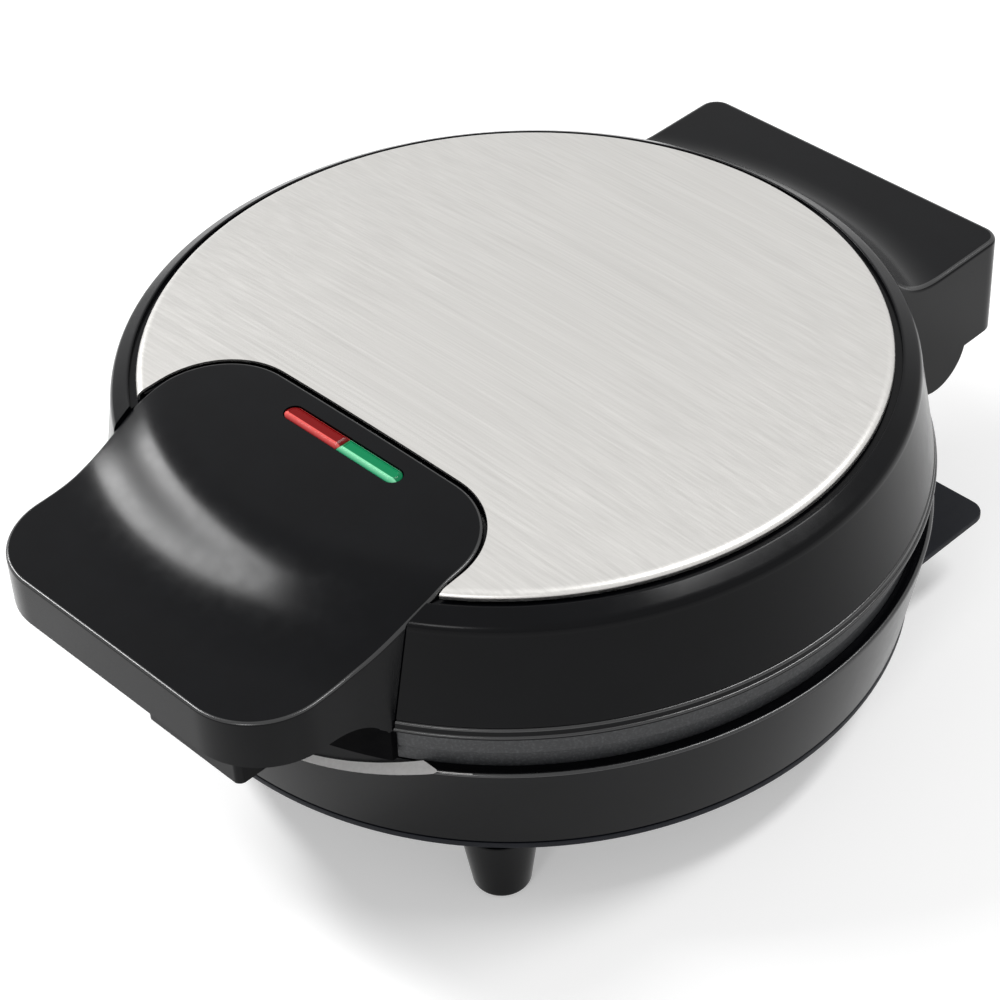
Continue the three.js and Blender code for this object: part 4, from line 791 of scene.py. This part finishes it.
def build_bottom_cover():
    """A flat disc with a straight rear edge, two rows of vents and a hole over each foot."""
    half, corner = 78.5, 5
    reach = math.sqrt(BASE_BOTTOM_R ** 2 - half ** 2)
    angle = math.degrees(math.atan2(reach, half))
    outline = [
        *arc(0, 0, BASE_BOTTOM_R, BASE_BOTTOM_R, -180 - angle, angle, 160),
        *arc(half - corner, REAR_EDGE_Y - corner, corner, corner, 0, 90, 10),
        *arc(-half + corner, REAR_EDGE_Y - corner, corner, corner, 90, 180, 10),
    ]
    edge, bow = 0.35, 0.1
    levels = [
        (edge, COVER_BOTTOM_Z), (bow, COVER_BOTTOM_Z + bow), (0, COVER_BOTTOM_Z + edge),
        (0, COVER_TOP_Z - edge), (bow, COVER_TOP_Z - bow), (edge, COVER_TOP_Z),
    ]
    loops = []
    for distance, z in levels:
        loops.append([(x, y, z) for x, y in (inset(outline, distance) if distance else outline)])
    cover = made("bottom_cover", skin(loops))
    vent_pitch, vent_row_y, vent_half, vent_r = 8, 20, 11.7, 1.3
    for row in (-1, 1):
        for column in (-1.5, -0.5, 0.5, 1.5):
            x, y = column * vent_pitch, row * vent_row_y
            ends = [
                *arc(x, y + vent_half, vent_r, vent_r, 0, 180, 10),
                *arc(x, y - vent_half, vent_r, vent_r, 180, 360, 10),
            ]
            carve(cover, prism(ends, "z", 10, 30))
    for x, y in FEET.values():
        carve(cover, cylinder(x, y, SCREW_HOLE_R, 10, 30))
    dressed(cover, "base", cover_black, ["base_bottom_cover"])


FOOT_Z, FOOT_TOP_Z, FOOT_BORE_Z = 0.6, 21.3, 13.8
FOOT_R, FOOT_TOP_R, PAD_SEAT_R, SCREW_HOLE_R = 5.9, 10.2, 4.3, 1.9
FEET = {
    "front_left": (-60.7, -70.3), "front_right": (60.7, -70.3),
    "rear_left": (-52, 78.3), "rear_right": (52, 78.3),
}


def build_feet():
    profile = [
        (PAD_SEAT_R, FOOT_Z), (FOOT_R, FOOT_Z), *arc(FOOT_R, FOOT_Z + 1.6, 1.6, 1.6, -80, 0, 8),
        (FOOT_TOP_R, FOOT_TOP_Z - 0.5), (FOOT_TOP_R - 0.1, FOOT_TOP_Z),
        (SCREW_HOLE_R, FOOT_TOP_Z), (SCREW_HOLE_R, FOOT_BORE_Z), (PAD_SEAT_R, FOOT_BORE_Z),
    ]
    for name, (x, y) in FEET.items():
        points, faces = revolved(profile, 64, ring=True)
        foot = made(f"{name}_foot_shell", ([(px + x, py + y, pz) for px, py, pz in points], faces))
        dressed(foot, "base", gloss_black, [f"{name}_foot"])


# Cooking plates

def pocket(rows):
    """The space of one quadrant pocket, given by rows of (depth, inset), opening upwards at z = 0."""
    loops = []
    for depth, drawn in rows:
        inner, outer, corner = RIDGE / 2 + drawn, POCKET_R - drawn, POCKET_CORNER - drawn * 0.6
        reach = math.sqrt(outer * outer - inner * inner)
        first = math.degrees(math.atan2(inner, reach))
        bite = math.degrees(corner / outer)
        side = [(reach - corner * (1 - 0.3 * k), inner + corner * 0.02 * k) for k in (0, 1)]
        outline = [
            *arc(inner + corner, inner + corner, corner, corner, 180, 270, 10),
            side[0],
            *arc(0, 0, outer, outer, first + bite, 90 - first - bite, 40),
            (inner, reach - corner),
        ]
        loops.append([(x, y, -depth) for x, y in outline])
    return skin(loops)


POCKET_ROWS = [
    (-3, -0.9), (-0.001, -0.6), (0.35, -0.25), (1.0, 0.1),
    (6.3, 1.4), (7.6, 2.0), (8.6, 3.1), (9.0, 4.5),
]


def build_plate(name, profile, face_z, flip, body, node):
    plate = made(name, revolved(profile))
    for turn in range(4):
        points, faces = pocket(POCKET_ROWS)
        space = made("pocket", (points, faces))
        place = Matrix.Rotation(math.radians(90 * turn), 4, "Z")
        if flip:
            place = place @ Matrix.Rotation(math.pi, 4, "X")
        space.data.transform(Matrix.Translation((0, 0, face_z * MM)) @ place)
        carve(plate, space)
    dressed(plate, body, non_stick, [node], sharp=40)


def build_plates():
    rim = 0.6
    build_plate("lower_plate", [
        (0, LOWER_PLATE_BOTTOM_Z), (DRUM_R, LOWER_PLATE_BOTTOM_Z), (DRUM_R, LOWER_RIM_BOTTOM_Z),
        (LOWER_RIM_R, LOWER_RIM_BOTTOM_Z),
        *arc(LOWER_RIM_R - rim, LOWER_RIM_TOP_Z - rim, rim, rim, 0, 90, 5), (0, LOWER_RIM_TOP_Z),
    ], LOWER_RIM_TOP_Z, False, "base", "lower_cooking_plate")
    build_plate("upper_plate", [
        (0, UPPER_RIM_BOTTOM_Z), *arc(UPPER_RIM_R - rim, UPPER_RIM_BOTTOM_Z + rim, rim, rim, -90, 0, 5),
        *arc(UPPER_RIM_R - rim, UPPER_RIM_TOP_Z - rim, rim, rim, 0, 90, 5),
        (UPPER_STEP_R, UPPER_RIM_TOP_Z), (UPPER_STEP_R, UPPER_STEP_TOP_Z), (DRUM_R, UPPER_STEP_TOP_Z),
        (DRUM_R, UPPER_PLATE_TOP_Z), (0, UPPER_PLATE_TOP_Z),
    ], UPPER_RIM_BOTTOM_Z, True, "lid", "upper_cooking_plate")


build_handle()
build_lens("red_lens", -SLOT_END_X, -LENS_SPLIT_X, red_lens, "power_lamp_lens")
build_lens("green_lens", LENS_SPLIT_X, SLOT_END_X, green_lens, "ready_lamp_lens")
build_lid()
build_cover_plate()
build_base()
build_bottom_cover()
build_feet()
build_plates()


# Studio

def glowing(name, color, seen, lit):
    """A matt surface that a camera, a mirror and a glass also see as pale."""
    material = bpy.data.materials.new(name)
    material.use_nodes = True
    tree = material.node_tree
    tree.nodes.clear()
    out = tree.nodes.new("ShaderNodeOutputMaterial")
    diffuse = tree.nodes.new("ShaderNodeBsdfDiffuse")
    diffuse.inputs["Color"].default_value = (*color, 1)
    glow = tree.nodes.new("ShaderNodeEmission")
    add = tree.nodes.new("ShaderNodeAddShader")
    tree.links.new(seen_by_eye(tree, seen, lit), glow.inputs["Strength"])
    tree.links.new(diffuse.outputs[0], add.inputs[0])
    tree.links.new(glow.outputs[0], add.inputs[1])
    tree.links.new(add.outputs[0], out.inputs["Surface"])
    return material


def seen_by_eye(tree, seen, other):
    """A strength: seen for camera, glossy and transmission rays, other for the rest."""
    path = tree.nodes.new("ShaderNodeLightPath")
    total = path.outputs["Is Camera Ray"]
    for name in ("Is Glossy Ray", "Is Transmission Ray"):
        most = tree.nodes.new("ShaderNodeMath")
        most.operation = "MAXIMUM"
        tree.links.new(total, most.inputs[0])
        tree.links.new(path.outputs[name], most.inputs[1])
        total = most.outputs[0]
    mix = tree.nodes.new("ShaderNodeMapRange")
    mix.inputs["To Min"].default_value = other
    mix.inputs["To Max"].default_value = seen
    tree.links.new(total, mix.inputs["Value"])
    return mix.outputs["Result"]


world = bpy.data.worlds.new("studio")
bpy.context.scene.world = world
world.use_nodes = True
background = world.node_tree.nodes["Background"]
background.inputs["Color"].default_value = (1, 1, 1, 1)
world.node_tree.links.new(seen_by_eye(world.node_tree, 1.0, 0.35), background.inputs["Strength"])

FLOOR_HALF = 6000
floor_points = [(x * FLOOR_HALF, y * FLOOR_HALF, 0) for x, y in ((-1, -1), (1, -1), (1, 1), (-1, 1))]
floor = made("floor", (floor_points, [(0, 1, 2, 3)]))
floor.data.materials.append(glowing("floor", (0.8, 0.8, 0.8), 0.35, 0.0))

LAMP_AIM = Vector((0, 0, 0.07))


def softbox(name, azimuth, elevation, distance, width, height, power, roll=0):
    """An area lamp that looks at LAMP_AIM; azimuth 0 is +X, 90 is +Y, and roll turns it in its plane.

    Its distance, width and height are metres, and its angles degrees.
    """
    light = bpy.data.lights.new(name, "AREA")
    light.shape = "RECTANGLE"
    light.size, light.size_y = width, height
    light.energy = power
    lamp = bpy.data.objects.new(name, light)
    bpy.context.scene.collection.objects.link(lamp)
    a, e = math.radians(azimuth), math.radians(elevation)
    direction = Vector((math.cos(a) * math.cos(e), math.sin(a) * math.cos(e), math.sin(e)))
    lamp.location = LAMP_AIM + direction * distance
    lamp.rotation_mode = "QUATERNION"
    lamp.rotation_quaternion = direction.to_track_quat("Z", "Y") @ Quaternion((0, 0, 1), math.radians(roll))


softbox("key", azimuth=202, elevation=42.5, distance=1.35, width=0.95, height=0.18, power=16.5, roll=41)
softbox("top", azimuth=50, elevation=60, distance=1.35, width=0.75, height=0.2, power=8, roll=-44)
softbox("low", azimuth=294, elevation=28, distance=1.5, width=0.3, height=0.3, power=3)

camera_data = bpy.data.cameras.new("camera")
camera_data.sensor_width = 36
camera_data.lens = 102.69
camera = bpy.data.objects.new("camera", camera_data)
bpy.context.scene.collection.objects.link(camera)
right, up, back = (0.7047, 0.7082, -0.0423), (-0.4378, 0.4810, 0.7595), (0.5582, -0.5168, 0.6490)
turn = Matrix((right, up, back)).transposed()
camera.rotation_mode = "QUATERNION"
camera.rotation_quaternion = turn.to_quaternion()
camera.location = (0.4179, -0.3947, 0.5359)
camera_data.clip_start = 0.05
bpy.context.scene.camera = camera

bpy.context.scene.view_settings.view_transform = "Standard"
